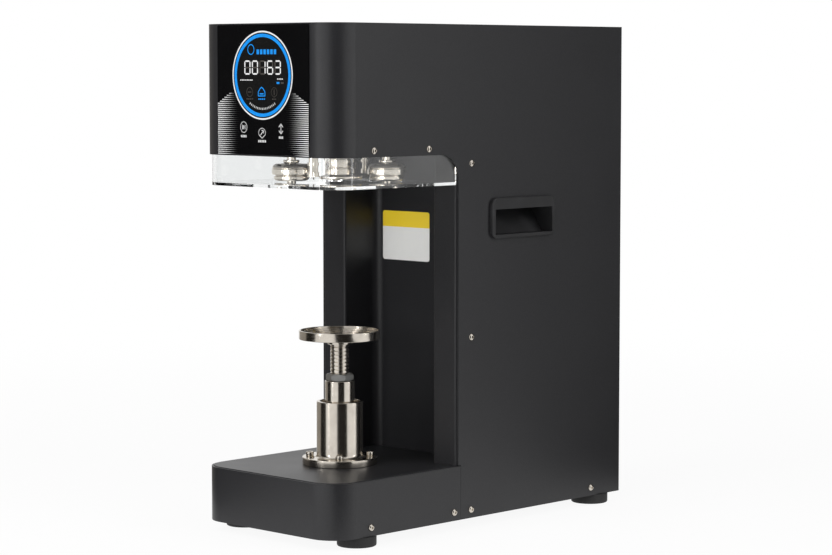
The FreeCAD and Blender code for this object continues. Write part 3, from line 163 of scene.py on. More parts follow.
class Graph:
    """The node tree of one finish."""

    def __init__(self, name: str) -> None:
        """Starts an empty material.

        Args:
            name: the material's name.
        """
        self.material = bpy.data.materials.new(name)
        self.material.use_nodes = True
        self.tree = self.material.node_tree
        self.tree.nodes.clear()

    def node(self, kind: str, inputs: dict[Any, Any] | None = None, output: int | str = 0,
             stops: Sequence[tuple[float, Colour]] = (), **settings: Any) -> Wire:
        """Adds a node.

        Args:
            kind: the node's type.
            inputs: socket number or name to a wire, number, colour or vector.
            output: the socket to hand back.
            stops: a ramp's places and colours.
            settings: attributes that are set before the sockets are fed.

        Returns:
            The chosen output.
        """
        made = self.tree.nodes.new(kind)
        for key, value in settings.items():
            setattr(made, key, value)
        for index, (place, colour) in enumerate(stops):
            ramp = made.color_ramp.elements
            stop = ramp[index] if index < 2 else ramp.new(place)
            stop.position = place
            stop.color = (*colour, 1.0)
        for key, value in (inputs or {}).items():
            self._feed(made.inputs[key], value)
        return Wire(self, made.outputs[output])

    def _feed(self, socket: bpy.types.NodeSocket, value: Any) -> None:
        """Links a wire to a socket, or sets a constant on it."""
        if isinstance(value, Wire):
            self.tree.links.new(value.socket, socket)
        elif socket.type == "RGBA":
            socket.default_value = (*value, 1.0)
        else:
            socket.default_value = value

    def place(self) -> Wire:
        """The point on the piece, in metres, in the machine's frame."""
        return self.node("ShaderNodeTexCoord", output="Object")

    def axes(self) -> tuple[Wire, Wire, Wire]:
        """The three coordinates of the point, each as a value."""
        inputs = {0: self.place()}
        return tuple(self.node("ShaderNodeSeparateXYZ", inputs, output=axis) for axis in "XYZ")

    def noise(self, size_mm: float, detail: float = 2.0, stretch: Point3 = (1.0, 1.0, 1.0)) -> Wire:
        """Noise of a given grain size.

        Args:
            size_mm: the size of one grain.
            detail: how many finer layers it holds.
            stretch: how much closer the grain is packed along each axis.

        Returns:
            A value near a half.
        """
        mapped = self.node("ShaderNodeMapping", {"Vector": self.place(), "Scale": stretch})
        inputs = {"Vector": mapped, "Scale": 1.0 / (size_mm * MM), "Detail": detail}
        return self.node("ShaderNodeTexNoise", inputs, output=0)

    def blend(self, share: Wire | float, first: Any, second: Any) -> Wire:
        """A colour between two.

        Args:
            share: how much of the second colour shows.
            first: a colour, or a wire that carries one.
            second: a colour, or a wire that carries one.

        Returns:
            The mixed colour.
        """
        return self.node("ShaderNodeMix", {0: share, 6: first, 7: second}, output=2,
                         data_type="RGBA")

    def bump(self, height: Wire, depth_mm: float, strength: float = 1.0) -> Wire:
        """A normal for a relief of the given depth."""
        inputs = {"Height": height, "Distance": depth_mm * MM, "Strength": strength}
        return self.node("ShaderNodeBump", inputs)

    def close(self, shader: Wire) -> bpy.types.Material:
        """Connects a shader to the output and hands back the material."""
        output = self.tree.nodes.new("ShaderNodeOutputMaterial")
        self.tree.links.new(shader.socket, output.inputs["Surface"])
        return self.material

    def surface(self, **sockets: Any) -> bpy.types.Material:
        """Ends the graph in a Principled surface.

        Args:
            sockets: socket names with underscores for spaces, in lower case.

        Returns:
            The finished material.
        """
        named = {key.replace("_", " ").title().replace("Ior", "IOR"): value
                 for key, value in sockets.items()}
        return self.close(self.node("ShaderNodeBsdfPrincipled", named))


# ------------------------------------------------------------------ finishes
@dataclass(frozen=True)
class PowderCoat:
    """Sheet metal under a satin, finely textured powder coat."""

    name: str
    colour: Colour = (0.0105, 0.0105, 0.0118)
    roughness: float = 0.38
    gloss: float = 0.5
    grain_mm: float = 1.1

    def material(self) -> bpy.types.Material:
        """Builds the coat: speckled texture, slow changes of sheen and a trace of dust."""
        graph = Graph(self.name)
        fine = graph.noise(self.grain_mm, 3.0)
        broad = graph.noise(60.0, 2.0)
        lighter = tuple(channel * 1.5 for channel in self.colour)
        colour = graph.blend(fine.within(0.35, 0.7), self.colour, lighter)
        rough = self.roughness - 0.05 + 0.10 * broad + 0.06 * fine
        return graph.surface(base_color=colour, roughness=rough, specular_ior_level=self.gloss,
                             normal=graph.bump(fine, 0.05, 0.5))


@dataclass(frozen=True)
class TurnedMetal:
    """Bright metal from a lathe, with faint turning rings and a little staining."""

    name: str
    colour: Colour = (0.66, 0.61, 0.54)
    roughness: float = 0.11
    ring_mm: float = 0.35
    relief_mm: float = 0.004

    def material(self) -> bpy.types.Material:
        """Builds the metal with rings that run round the upright axis."""
        graph = Graph(self.name)
        rings = graph.noise(self.ring_mm, 1.0, (0.02, 0.02, 1.0))
        stain = graph.noise(14.0, 3.0)
        dull = tuple(channel * 0.86 for channel in self.colour)
        colour = graph.blend(stain.within(0.35, 0.75), self.colour, dull)
        rough = self.roughness + 0.07 * rings + 0.06 * stain
        return graph.surface(base_color=colour, metallic=1.0, roughness=rough,
                             normal=graph.bump(rings, self.relief_mm, 0.6))


@dataclass(frozen=True)
class PlatedSteel:
    """Zinc-plated or milled metal with a broad cloudy grain."""

    name: str
    colour: Colour = (0.50, 0.51, 0.52)
    roughness: float = 0.34
    grain_mm: float = 5.0
    metallic: float = 1.0

    def material(self) -> bpy.types.Material:
        """Builds the plating: cloudy sheen over short brushed lines."""
        graph = Graph(self.name)
        cloud = graph.noise(self.grain_mm, 4.0)
        lines = graph.noise(0.5, 2.0, (0.08, 1.0, 1.0))
        dull = tuple(channel * 0.8 for channel in self.colour)
        return graph.surface(base_color=graph.blend(cloud, self.colour, dull),
                             metallic=self.metallic, roughness=self.roughness + 0.14 * cloud,
                             normal=graph.bump(lines, 0.02, 0.4))


@dataclass(frozen=True)
class Moulding:
    """Moulded plastic or rubber with a fine spark-eroded grain."""

    name: str
    colour: Colour
    roughness: float = 0.5
    grain_mm: float = 0.7
    relief_mm: float = 0.04

    def material(self) -> bpy.types.Material:
        """Builds the moulding."""
        graph = Graph(self.name)
        grain = graph.noise(self.grain_mm, 2.0)
        wear = graph.noise(25.0, 3.0)
        lighter = tuple(channel * 1.6 + 0.002 for channel in self.colour)
        return graph.surface(base_color=graph.blend(wear.within(0.4, 0.8), self.colour, lighter),
                             roughness=self.roughness + 0.12 * wear,
                             normal=graph.bump(grain, self.relief_mm, 0.5))


@dataclass(frozen=True)
class ClearAcrylic:
    """Clear cast acrylic sheet with faint handling marks."""

    name: str
    tint: Colour = (0.97, 0.98, 0.98)

    def material(self) -> bpy.types.Material:
        """Builds the acrylic: refraction with a hardly rough surface."""
        graph = Graph(self.name)
        smears = graph.noise(18.0, 4.0)
        return graph.surface(base_color=self.tint, transmission_weight=1.0, ior=1.49,
                             roughness=0.01 + 0.03 * smears.within(0.55, 0.8))


@dataclass(frozen=True)
class PanelGlass:
    """The glossy black overlay of the touch panel."""

    name: str
    colour: Colour = (0.0022, 0.0022, 0.0025)

    def material(self) -> bpy.types.Material:
        """Builds the overlay: deep black under a clear coat with faint smears."""
        graph = Graph(self.name)
        smears = graph.noise(30.0, 3.0)
        return graph.surface(base_color=self.colour, roughness=0.16 + 0.12 * smears,
                             specular_ior_level=0.35)


@dataclass(frozen=True)
class Lamp:
    """A lit mark behind the panel glass."""

    name: str
    colour: Colour
    strength: float = 1.0

    def material(self) -> bpy.types.Material:
        """Builds the lamp, a little uneven where the diodes sit."""
        graph = Graph(self.name)
        spots = graph.noise(2.2, 1.0)
        dimmer = tuple(channel * 0.82 for channel in self.colour)
        glow = graph.blend(spots.within(0.3, 0.7), dimmer, self.colour)
        return graph.surface(base_color=(0.01, 0.01, 0.01), roughness=0.3, emission_color=glow,
                             emission_strength=self.strength)


@dataclass(frozen=True)
class Ink:
    """A printed mark, which can fade away towards the middle of the panel."""

    name: str
    colour: Colour
    fade_mm: tuple[float, float] | None = None
    ground: Colour = (0.0022, 0.0022, 0.0025)

    def material(self) -> bpy.types.Material:
        """Builds the print from the distance to the panel's centre line."""
        graph = Graph(self.name)
        speck = graph.noise(0.4, 1.0)
        cover = speck.within(0.0, 0.35)
        if self.fade_mm:
            across = abs(graph.axes()[0])
            cover = cover * across.within(self.fade_mm[0] * MM, self.fade_mm[1] * MM)
        colour = graph.blend(cover, self.ground, self.colour)
        return graph.surface(base_color=colour, roughness=0.32)


@dataclass(frozen=True)
class StickerFilm:
    """A blank two-colour vinyl sticker."""

    name: str
    band_level: float
    band: Colour = (0.86, 0.62, 0.02)
    paper: Colour = (0.80, 0.80, 0.78)

    def material(self) -> bpy.types.Material:
        """Builds the vinyl: a band of colour above a level, and plain below."""
        graph = Graph(self.name)
        height = graph.axes()[2]
        mottle = graph.noise(8.0, 2.0)
        colour = graph.blend(height.above(self.band_level), self.paper, self.band)
        shaded = graph.blend(0.06 * mottle, colour, (0.3, 0.3, 0.3))
        return graph.surface(base_color=shaded, roughness=0.35 + 0.1 * mottle)


# ------------------------------------------------------------------ shapes, in millimetres
class Section(Enum):
    """The outline that a ring of points follows."""

    ROUND = "round"
    HEX = "hex"


@dataclass(frozen=True)
class Extent:
    """A box in millimetres."""

    low: Vector
    high: Vector

    @classmethod
    def of(cls, node: str) -> "Extent":
        """The box of a CAD node at rest."""
        low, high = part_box(node)
        return cls(Vector(low) / MM, Vector(high) / MM)

    @property
    def middle(self) -> Vector:
        """The centre of the box."""
        return (self.low + self.high) / 2.0

    @property
    def size(self) -> Vector:
        """The three sides of the box."""
        return self.high - self.low


@dataclass(frozen=True)
class Spot:
    """Where one copy of a repeated piece goes, how it is turned and how it is stretched."""

    at: Point3
    turn_deg: Point3 = (0.0, 0.0, 0.0)
    stretch: Point3 = (1.0, 1.0, 1.0)


def softened(corners: Sequence[Point3], loop: bool, bites: int = 4) -> list[Point]:
    """Rounds the corners of a profile.

    Args:
        corners: radius, level and how far the rounding reaches along both runs.
        loop: whether the profile closes on itself.
        bites: how many runs make one rounding.

    Returns:
        The points of the rounded profile.
    """
    points = []
    count = len(corners)
    for index, (across, up, reach) in enumerate(corners):
        here = Vector((across, up))
        if reach <= 0.0 or (not loop and index in (0, count - 1)):
            points.append((across, up))
            continue
        runs = [Vector(corners[(index + step) % count][:2]) - here for step in (-1, 1)]
        start, end = [here + run.normalized() * min(reach, 0.49 * run.length) for run in runs]
        for step in range(bites + 1):
            share = step / bites
            point = start.lerp(here, share).lerp(here.lerp(end, share), share)
            points.append((point.x, point.y))
    return points


def ring(radius: float, level: float, section: Section, count: int) -> list[Vector]:
    """Points round the upright axis.

    Args:
        radius: the distance of a round ring, or of a hexagon's corners.
        level: the height of the ring.
        section: whether the ring is round or a hexagon.
        count: how many points it has.

    Returns:
        The points in order.
    """
    points = []
    for step in range(count):
        angle = 2.0 * math.pi * step / count
        reach = radius
        if section is Section.HEX:
            lean = angle % (math.pi / 3.0) - math.pi / 6.0
            reach = radius * math.cos(math.pi / 6.0) / math.cos(lean)
        points.append(Vector((reach * math.cos(angle), reach * math.sin(angle), level)))
    return points


def lofted(rings: Sequence[Sequence[Vector]], loop: bool = False) -> bpy.types.Mesh:
    """A closed skin through rings of equal count.

    Args:
        rings: the rings in order.
        loop: whether the last ring joins the first; otherwise both ends are capped.

    Returns:
        The mesh, with its faces outwards.
    """
    work = bmesh.new()
    rows = [[work.verts.new(point) for point in points] for points in rings]
    for low, high in zip(rows, rows[1:] + rows[:1] if loop else rows[1:]):
        for index in range(len(low)):
            after = (index + 1) % len(low)
            work.faces.new((low[index], low[after], high[after], high[index]))
    if not loop:
        work.faces.new(list(reversed(rows[0])))
        work.faces.new(rows[-1])
    return closed_off(work)


def closed_off(work: bmesh.types.BMesh) -> bpy.types.Mesh:
    """Merges doubles, turns the faces outwards and hands back a plain mesh."""
    bmesh.ops.remove_doubles(work, verts=work.verts, dist=1e-4)
    bmesh.ops.recalc_face_normals(work, faces=work.faces)
    mesh = bpy.data.meshes.new("shape")
    work.to_mesh(mesh)
    work.free()
    return mesh


def turned(corners: Sequence[Point3], loop: bool = False, count: int = 96) -> bpy.types.Mesh:
    """A piece from the lathe.

    Args:
        corners: radius, level and rounding of each corner of the profile.
        loop: whether the profile goes round a bore.
        count: how many points each ring has.

    Returns:
        The mesh, about the upright axis.
    """
    return lofted([ring(radius, level, Section.ROUND, count)
                   for radius, level in softened(corners, loop)], loop)


def plate(outline: Sequence[Point], thickness: float, bevel: float = 0.0) -> bpy.types.Mesh:
    """A flat plate with a small bevel round its upper edge.

    Args:
        outline: its corners, counter-clockwise, about its own middle.
        thickness: its thickness, upwards.
        bevel: the width of the bevel.

    Returns:
        The mesh.
    """
    reach = max(math.hypot(*point) for point in outline)
    inner = 1.0 - bevel / reach
    levels = [(1.0, 0.0), (1.0, thickness)]
    if bevel:
        levels = [(1.0, 0.0), (1.0, thickness - bevel), (inner, thickness)]
    return lofted([[Vector((share * across, share * along, level)) for across, along in outline]
                   for share, level in levels])


def rounded_box(width: float, height: float, radius: float, bites: int = 6) -> list[Point]:
    """The outline of a rectangle with round corners."""
    points = []
    for turn, (side, end) in enumerate(((1, 1), (-1, 1), (-1, -1), (1, -1))):
        for step in range(bites + 1):
            angle = math.pi / 2.0 * (turn + step / bites)
            points.append((side * (width / 2.0 - radius) + radius * math.cos(angle),
                           end * (height / 2.0 - radius) + radius * math.sin(angle)))
    return points


def moved(mesh: bpy.types.Mesh, at: Sequence[float],
          turn_deg: Point3 = (0.0, 0.0, 0.0)) -> bpy.types.Mesh:
    """Turns a mesh and then moves it."""
    turn = Euler([math.radians(angle) for angle in turn_deg]).to_matrix().to_4x4()
    mesh.transform(Matrix.Translation(at) @ turn)
    return mesh


def gathered(meshes: Iterable[bpy.types.Mesh]) -> bpy.types.Mesh:
    """Several meshes as one, each still closed."""
    work = bmesh.new()
    for mesh in meshes:
        work.from_mesh(mesh)
    result = bpy.data.meshes.new("shape")
    work.to_mesh(result)
    work.free()
    return result


def islands(mesh: bpy.types.Mesh) -> list[Extent]:
    """The boxes of the separate solids of a CAD node.

    Args:
        mesh: the node's mesh, in metres.

    Returns:
        One box for each solid.
    """
    work = bmesh.new()
    work.from_mesh(mesh)
    bmesh.ops.remove_doubles(work, verts=work.verts, dist=1e-6)
    left = set(work.verts)
    found = []
    while left:
        reached = [left.pop()]
        for vertex in reached:
            near = {edge.other_vert(vertex) for edge in vertex.link_edges} & left
            left -= near
            reached.extend(near)
        corners = [[vertex.co[axis] / MM for vertex in reached] for axis in range(3)]
        found.append(Extent(Vector(map(min, corners)), Vector(map(max, corners))))
    work.free()
    return found


# ------------------------------------------------------------------ node trees that repeat and wind
class Copies:
    """Geometry Nodes that set one piece on points, each with its own turn and stretch."""

    def __init__(self) -> None:
        """Builds the tree once."""
        tree = bpy.data.node_groups.new("copies_on_points", "GeometryNodeTree")
        make = tree.interface.new_socket
        make("Points", in_out="INPUT", socket_type="NodeSocketGeometry")
        piece = make("Piece", in_out="INPUT", socket_type="NodeSocketObject")
        finish = make("Finish", in_out="INPUT", socket_type="NodeSocketMaterial")
        make("Copies", in_out="OUTPUT", socket_type="NodeSocketGeometry")
        start, end = tree.nodes.new("NodeGroupInput"), tree.nodes.new("NodeGroupOutput")
        source = tree.nodes.new("GeometryNodeObjectInfo")
        place = tree.nodes.new("GeometryNodeInstanceOnPoints")
        real = tree.nodes.new("GeometryNodeRealizeInstances")
        paint = tree.nodes.new("GeometryNodeSetMaterial")
        link = tree.links.new
        for name, socket in (("turn", "Rotation"), ("stretch", "Scale")):
            field = tree.nodes.new("GeometryNodeInputNamedAttribute")
            field.data_type = "FLOAT_VECTOR"
            field.inputs["Name"].default_value = name
            link(field.outputs["Attribute"], place.inputs[socket])
        link(start.outputs["Points"], place.inputs["Points"])
        link(start.outputs["Piece"], source.inputs["Object"])
        link(source.outputs["Geometry"], place.inputs["Instance"])
        link(place.outputs["Instances"], real.inputs["Geometry"])
        link(real.outputs["Geometry"], paint.inputs["Geometry"])
        link(start.outputs["Finish"], paint.inputs["Material"])
        link(paint.outputs["Geometry"], end.inputs["Copies"])
        self.tree = tree
        self.piece_socket = piece.identifier
        self.finish_socket = finish.identifier

    def make(self, piece: bpy.types.Mesh, spots: Sequence[Spot],
             finish: bpy.types.Material) -> bpy.types.Mesh:
        """Sets the copies.

        Args:
            piece: the mesh to repeat.
            spots: where the copies go.
            finish: what they are covered in.

        Returns:
            One mesh that holds all copies.
        """
        points = bpy.data.meshes.new("points")
        points.from_pydata([spot.at for spot in spots], [], [])
        turns = points.attributes.new("turn", "FLOAT_VECTOR", "POINT")
        stretches = points.attributes.new("stretch", "FLOAT_VECTOR", "POINT")
        for index, spot in enumerate(spots):
            turns.data[index].vector = [math.radians(angle) for angle in spot.turn_deg]
            stretches.data[index].vector = spot.stretch
        pattern = bpy.data.objects.new("pattern", piece)
        inputs = {self.piece_socket: pattern, self.finish_socket: finish}
        result = evaluated(points, self.tree, inputs)
        bpy.data.objects.remove(pattern)
        return result


class Thread:
    """Geometry Nodes that wind one ridge of a screw thread."""

    ROOT_SHARE = 0.84
    CREST_SHARE = 0.62
    POINTS_PER_TURN = 48

    def __init__(self) -> None:
        """Builds the tree once."""
        tree = bpy.data.node_groups.new("wound_thread", "GeometryNodeTree")
        make = tree.interface.new_socket
        make("Blank", in_out="INPUT", socket_type="NodeSocketGeometry")
        sizes = ("Turns", "Radius", "Length", "Root Width", "Crest Width", "Depth")
        self.sockets = {name: make(name, in_out="INPUT", socket_type="NodeSocketFloat").identifier
                        for name in sizes}
        finish = make("Finish", in_out="INPUT", socket_type="NodeSocketMaterial")
        self.finish_socket = finish.identifier
        make("Thread", in_out="OUTPUT", socket_type="NodeSocketGeometry")
        start, end = tree.nodes.new("NodeGroupInput"), tree.nodes.new("NodeGroupOutput")
        spiral = tree.nodes.new("GeometryNodeCurveSpiral")
        upright = tree.nodes.new("GeometryNodeSetCurveNormal")
        upright.mode = "Z_UP"
        ridge = tree.nodes.new("GeometryNodeCurvePrimitiveQuadrilateral")
        ridge.mode = "TRAPEZOID"
        ridge.inputs["Offset"].default_value = 0.0
        turn = tree.nodes.new("GeometryNodeTransform")
        turn.inputs["Rotation"].default_value = (0.0, 0.0, math.pi / 2.0)
        sweep = tree.nodes.new("GeometryNodeCurveToMesh")
        sweep.inputs["Fill Caps"].default_value = True
        real = tree.nodes.new("GeometryNodeRealizeInstances")
        paint = tree.nodes.new("GeometryNodeSetMaterial")
        spiral.inputs["Resolution"].default_value = self.POINTS_PER_TURN
        link = tree.links.new
        link(start.outputs["Turns"], spiral.inputs["Rotations"])
        link(start.outputs["Radius"], spiral.inputs["Start Radius"])
        link(start.outputs["Radius"], spiral.inputs["End Radius"])
        link(start.outputs["Length"], spiral.inputs["Height"])
        link(start.outputs["Root Width"], ridge.inputs["Bottom Width"])
        link(start.outputs["Crest Width"], ridge.inputs["Top Width"])
        link(start.outputs["Depth"], ridge.inputs["Height"])
        link(spiral.outputs["Curve"], upright.inputs["Curve"])
        link(ridge.outputs["Curve"], turn.inputs["Geometry"])
        link(upright.outputs["Curve"], sweep.inputs["Curve"])
        link(turn.outputs["Geometry"], sweep.inputs["Profile Curve"])
        link(sweep.outputs["Mesh"], real.inputs["Geometry"])
        link(real.outputs["Geometry"], paint.inputs["Geometry"])
        link(start.outputs["Finish"], paint.inputs["Material"])
        link(paint.outputs["Geometry"], end.inputs["Thread"])
        self.tree = tree

    def wind(self, pitch: float, length: float, radius: float, depth: float,
             finish: bpy.types.Material) -> bpy.types.Mesh:
        """Winds the ridge upwards from level zero.

        Args:
            pitch: the rise of one turn.
            length: the height of the thread.
            radius: the radius at the crest.
            depth: how far the ridge stands off its core.
            finish: what it is covered in.

        Returns:
            The ridge as a closed mesh.
        """
        blank = bpy.data.meshes.new("blank")
        values = {"Turns": length / pitch, "Radius": radius - depth / 2.0, "Length": length,
                  "Root Width": pitch * self.ROOT_SHARE,
                  "Crest Width": pitch * self.CREST_SHARE, "Depth": depth}
        inputs = {self.sockets[name]: value for name, value in values.items()}
        inputs[self.finish_socket] = finish
        mesh = evaluated(blank, self.tree, inputs)
        work = bmesh.new()
        work.from_mesh(mesh)
        return closed_off(work)


def evaluated(mesh: bpy.types.Mesh, tree: bpy.types.NodeTree,
              inputs: dict[str, Any]) -> bpy.types.Mesh:
    """Runs a node tree on a mesh and hands back the plain result.

    Args:
        mesh: what goes into the tree.
        tree: the tree.
        inputs: socket identifiers and their values.

    Returns:
        A new mesh without modifiers.
    """
    carrier = bpy.data.objects.new("carrier", mesh)
    bpy.context.collection.objects.link(carrier)
    modifier = carrier.modifiers.new("tree", "NODES")
    modifier.node_group = tree
    for identifier, value in inputs.items():
        modifier[identifier] = value
    graph = bpy.context.evaluated_depsgraph_get()
    result = bpy.data.meshes.new_from_object(carrier.evaluated_get(graph))
    carrier.modifiers.remove(modifier)
    bpy.data.objects.remove(carrier)
    return result


# ------------------------------------------------------------------ workshop
@dataclass
class Workshop:
    """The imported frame, the finishes that go on it and the two node trees."""

    frame: dict[str, Any]
    finishes: dict[str, bpy.types.Material]
    copies: Copies = field(default_factory=Copies)
    thread: Thread = field(default_factory=Thread)

    def dress(self, node: str, finish: str) -> None:
        """Puts a finish on a CAD node that keeps its shape."""
        mesh = self.frame["nodes"][node].data
        mesh.materials.clear()
        mesh.materials.append(self.finishes[finish])
        log.info("dressed %s in %s", node, finish)

    def repeat(self, piece: bpy.types.Mesh, spots: Sequence[Spot], finish: str) -> bpy.types.Mesh:
        """Copies of a piece in one finish."""
        return self.copies.make(piece, spots, self.finishes[finish])

    def piece(self, name: str, mesh: bpy.types.Mesh, finish: str, body: Body, slot: str,
              replaces: Sequence[str] = (), crease_deg: float = 35.0) -> bpy.types.Object:
        """Makes a finished piece from a mesh in millimetres.

        Args:
            name: the piece's name.
            mesh: its shape, in the machine's frame.
            finish: the name of its finish.
            body: the rigid body that it rides on.
            slot: the name of the record's material slot for the piece; not used.
            replaces: the CAD nodes that it stands for.
            crease_deg: the angle above which an edge stays sharp.

        Returns:
            The object.
        """
        mesh.transform(Matrix.Scale(MM, 4))
        mesh.name = name
        mesh.materials.clear()
        mesh.materials.append(self.finishes[finish])
        mesh.shade_smooth()
        mesh.set_sharp_from_angle(angle=math.radians(crease_deg))
        made = bpy.data.objects.new(name, mesh)
        bpy.context.collection.objects.link(made)
        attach(made, body.value)
        if replaces:
            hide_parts(*replaces)
        log.info("made %s with %d faces", name, len(mesh.polygons))
        return made


# ------------------------------------------------------------------ fastenings
@dataclass
class ButtonScrews:
    """Button-head screws with a hexagon socket, one in each hole of the sheet metal."""

    head_radius: float = 3.8
    head_height: float = 2.3
    brim: float = 0.35
    dome_leans_deg: tuple[float, ...] = (24.0, 44.0, 60.0, 72.0)
    dome_lean_share: float = 0.86
    socket_radius: float = 1.5
    socket_depth: float = 1.5
    socket_edge: float = 0.05
    shank_radius: float = 2.0
    shank: float = 12.0
    points: int = 24

    def blank(self) -> bpy.types.Mesh:
        """One screw, its head upwards from level zero."""
        steps = [(self.shank_radius, -self.shank), (self.shank_radius, 0.0),
                 (self.head_radius, 0.0), (self.head_radius, self.brim)]
        steepest = math.sin(math.radians(self.dome_leans_deg[-1]))
        for lean_deg in self.dome_leans_deg:
            lean = math.radians(lean_deg)
            rise = (self.head_height - self.brim) * math.sin(lean) / steepest
            steps.append((self.head_radius * math.cos(lean * self.dome_lean_share),
                          self.brim + rise))
        dome = [ring(radius, level, Section.ROUND, self.points) for radius, level in steps]
        for level in (self.head_height - self.socket_edge, self.head_height - self.socket_depth):
            dome.append(ring(self.socket_radius, level, Section.HEX, self.points))
        return lofted(dome)

    def build(self, shop: Workshop) -> None:
        """Sets a screw wherever the frame has one."""
        cabinet = Extent.of("upper_housing")
        spots = []
        for hole in islands(shop.frame["nodes"]["cabinet_screws"].data):
            middle = hole.middle
            if hole.size.x > hole.size.y:
                side = math.copysign(1.0, middle.x)
                spots.append(Spot((side * cabinet.high.x, middle.y, middle.z),
                                  (0.0, 90.0 * side, 0.0)))
            else:
                spots.append(Spot((middle.x, cabinet.high.y, middle.z), (-90.0, 0.0, 0.0)))
        mesh = shop.repeat(self.blank(), spots, "polished")
        shop.piece("cabinet_screws_bright", mesh, "polished", Body.CABINET, "polished",
                   ["cabinet_screws"])


# ------------------------------------------------------------------ lifter
@dataclass
class Lifter:
    """The flanged sleeve, the piston, the threaded stem with its nut, and the can tray."""

    sleeve_radius: float = 25.0
    cup_radius: float = 21.0
    cup_depth: float = 12.0
    flange_thickness: float = 8.0
    root_fillet: float = 4.5
    bolt_head_radius: float = 4.25
    bolt_head_height: float = 5.0
    bolt_radius: float = 2.5
    bolt_shank: float = 20.0
    bolt_turn_deg: float = 23.0
    knurl_points: int = 36
    knurl_share: float = 0.965
    stem_radius: float = 10.0
    thread_pitch: float = 4.0
    thread_depth: float = 1.3
    thread_bed: float = 0.3
    thread_start: float = 2.0
    plain_end: float = 2.4
    groove: float = 1.5
    nut_turn_deg: float = 40.0
    tray_height: float = 9.7
    tray_rim: float = 2.2
    tray_boss_radius: float = 13.0
    ledges: tuple[float, float] = (37.5, 33.5)

    def axis(self) -> Vector:
        """The upright axis, at level zero."""
        middle = Extent.of("lifter_sleeve").middle
        return Vector((middle.x, middle.y, 0.0))

    def sleeve(self, shop: Workshop) -> None:
        """The sleeve with its flange, the round root between them and the recess at the top."""
        box = Extent.of("lifter_sleeve")
        bore = Extent.of("lift_piston").size.x / 2.0 + 0.05
        low, top = box.low.z, box.high.z
        flange = low + self.flange_thickness
        reach = box.size.x / 2.0
        mesh = turned([
            (bore, low, 0.0), (reach, low, 0.9), (reach, flange, 1.1),
            (self.sleeve_radius, flange, self.root_fillet), (self.sleeve_radius, top, 0.8),
            (self.cup_radius, top, 0.5), (self.cup_radius, top - self.cup_depth, 0.6),
            (bore, top - self.cup_depth, 0.4)], loop=True, count=128)
        shop.piece("sleeve_turned", moved(mesh, self.axis()), "polished", Body.CABINET, "polished",
                   ["lifter_sleeve"])

    def bolts(self, shop: Workshop) -> None:
        """The cap screws that hold the flange, with knurled heads."""
        count = self.knurl_points
        radius, height = self.bolt_head_radius, self.bolt_head_height

        def knurled(level: float) -> list[Vector]:
            """A ring whose points step in and out."""
            points = ring(radius, level, Section.ROUND, count)
            return [Vector((point.x * step, point.y * step, level)) for point, step
                    in zip(points, (1.0, self.knurl_share) * (count // 2))]

        rows = [ring(self.bolt_radius, -self.bolt_shank, Section.ROUND, count),
                ring(self.bolt_radius, 0.0, Section.ROUND, count),
                ring(radius * 0.94, 0.0, Section.ROUND, count)]
        rows += [knurled(0.3), knurled(height - 0.8)]
        rows += [ring(radius * 0.95, height - 0.5, Section.ROUND, count),
                 ring(radius * 0.84, height, Section.ROUND, count),
                 ring(radius * 0.62, height, Section.ROUND, count),
                 ring(radius * 0.54, height - 0.3, Section.HEX, count),
                 ring(radius * 0.54, height * 0.5, Section.HEX, count)]
        level = Extent.of("lifter_sleeve").low.z + self.flange_thickness
        holes = islands(shop.frame["nodes"]["sleeve_screws"].data)
        spots = [Spot((hole.middle.x, hole.middle.y, level),
                      (0.0, 0.0, self.bolt_turn_deg * index))
                 for index, hole in enumerate(holes)]
        mesh = shop.repeat(lofted(rows), spots, "polished")
        shop.piece("sleeve_cap_screws", mesh, "polished", Body.CABINET, "polished",
                   ["sleeve_screws"])

    def piston(self, shop: Workshop) -> None:
        """The bright tube that rises out of the sleeve."""
        box = Extent.of("lift_piston")
        bore = self.stem_radius + 0.05
        reach = box.size.x / 2.0
        mesh = turned([(bore, box.low.z, 0.3), (reach, box.low.z, 0.3), (reach, box.high.z, 0.7),
                       (bore + 1.0, box.high.z, 0.3), (bore, box.high.z - 1.0, 0.0)], loop=True)
        shop.piece("piston_tube", moved(mesh, self.axis()), "polished", Body.LIFT, "polished",
                   ["lift_piston"])

    def stem(self, shop: Workshop) -> None:
        """The stem: a core, one wound thread and the plain neck under the tray."""
        box = Extent.of("tray_stem")
        low, high = box.low.z, box.high.z
        core = self.stem_radius - self.thread_depth
        neck = Extent.of("can_tray").low.z - self.plain_end
        mesh = turned([(0.0, low, 0.0), (core - 0.6, low, 0.3), (core, low + 0.8, 0.3),
                       (core, neck, 0.3), (self.stem_radius, neck + 0.4, 0.2),
                       (self.stem_radius, high, 0.0), (0.0, high, 0.0)])
        start = low + self.thread_start
        length = neck - self.groove - start
        ridge = shop.thread.wind(self.thread_pitch, length, self.stem_radius,
                                 self.thread_depth + self.thread_bed, shop.finishes["thread"])
        whole = gathered([moved(mesh, self.axis()),
                          moved(ridge, self.axis() + Vector((0.0, 0.0, start)))])
        shop.piece("stem_threaded", whole, "thread", Body.TRAY, "polished", ["tray_stem"], 30.0)

    def nut(self, shop: Workshop) -> None:
        """The matte hexagon nut with turned-down corners."""
        box = Extent.of("adjusting_nut")
        lean = math.radians(self.nut_turn_deg % 60.0)
        reach = box.size.x / 2.0 / max(math.cos(lean), math.cos(math.pi / 3.0 - lean))
        flat = reach * math.cos(math.pi / 6.0)
        bore = self.stem_radius + 0.05
        count = 72
        low, high, drop = box.low.z, box.high.z, 1.1

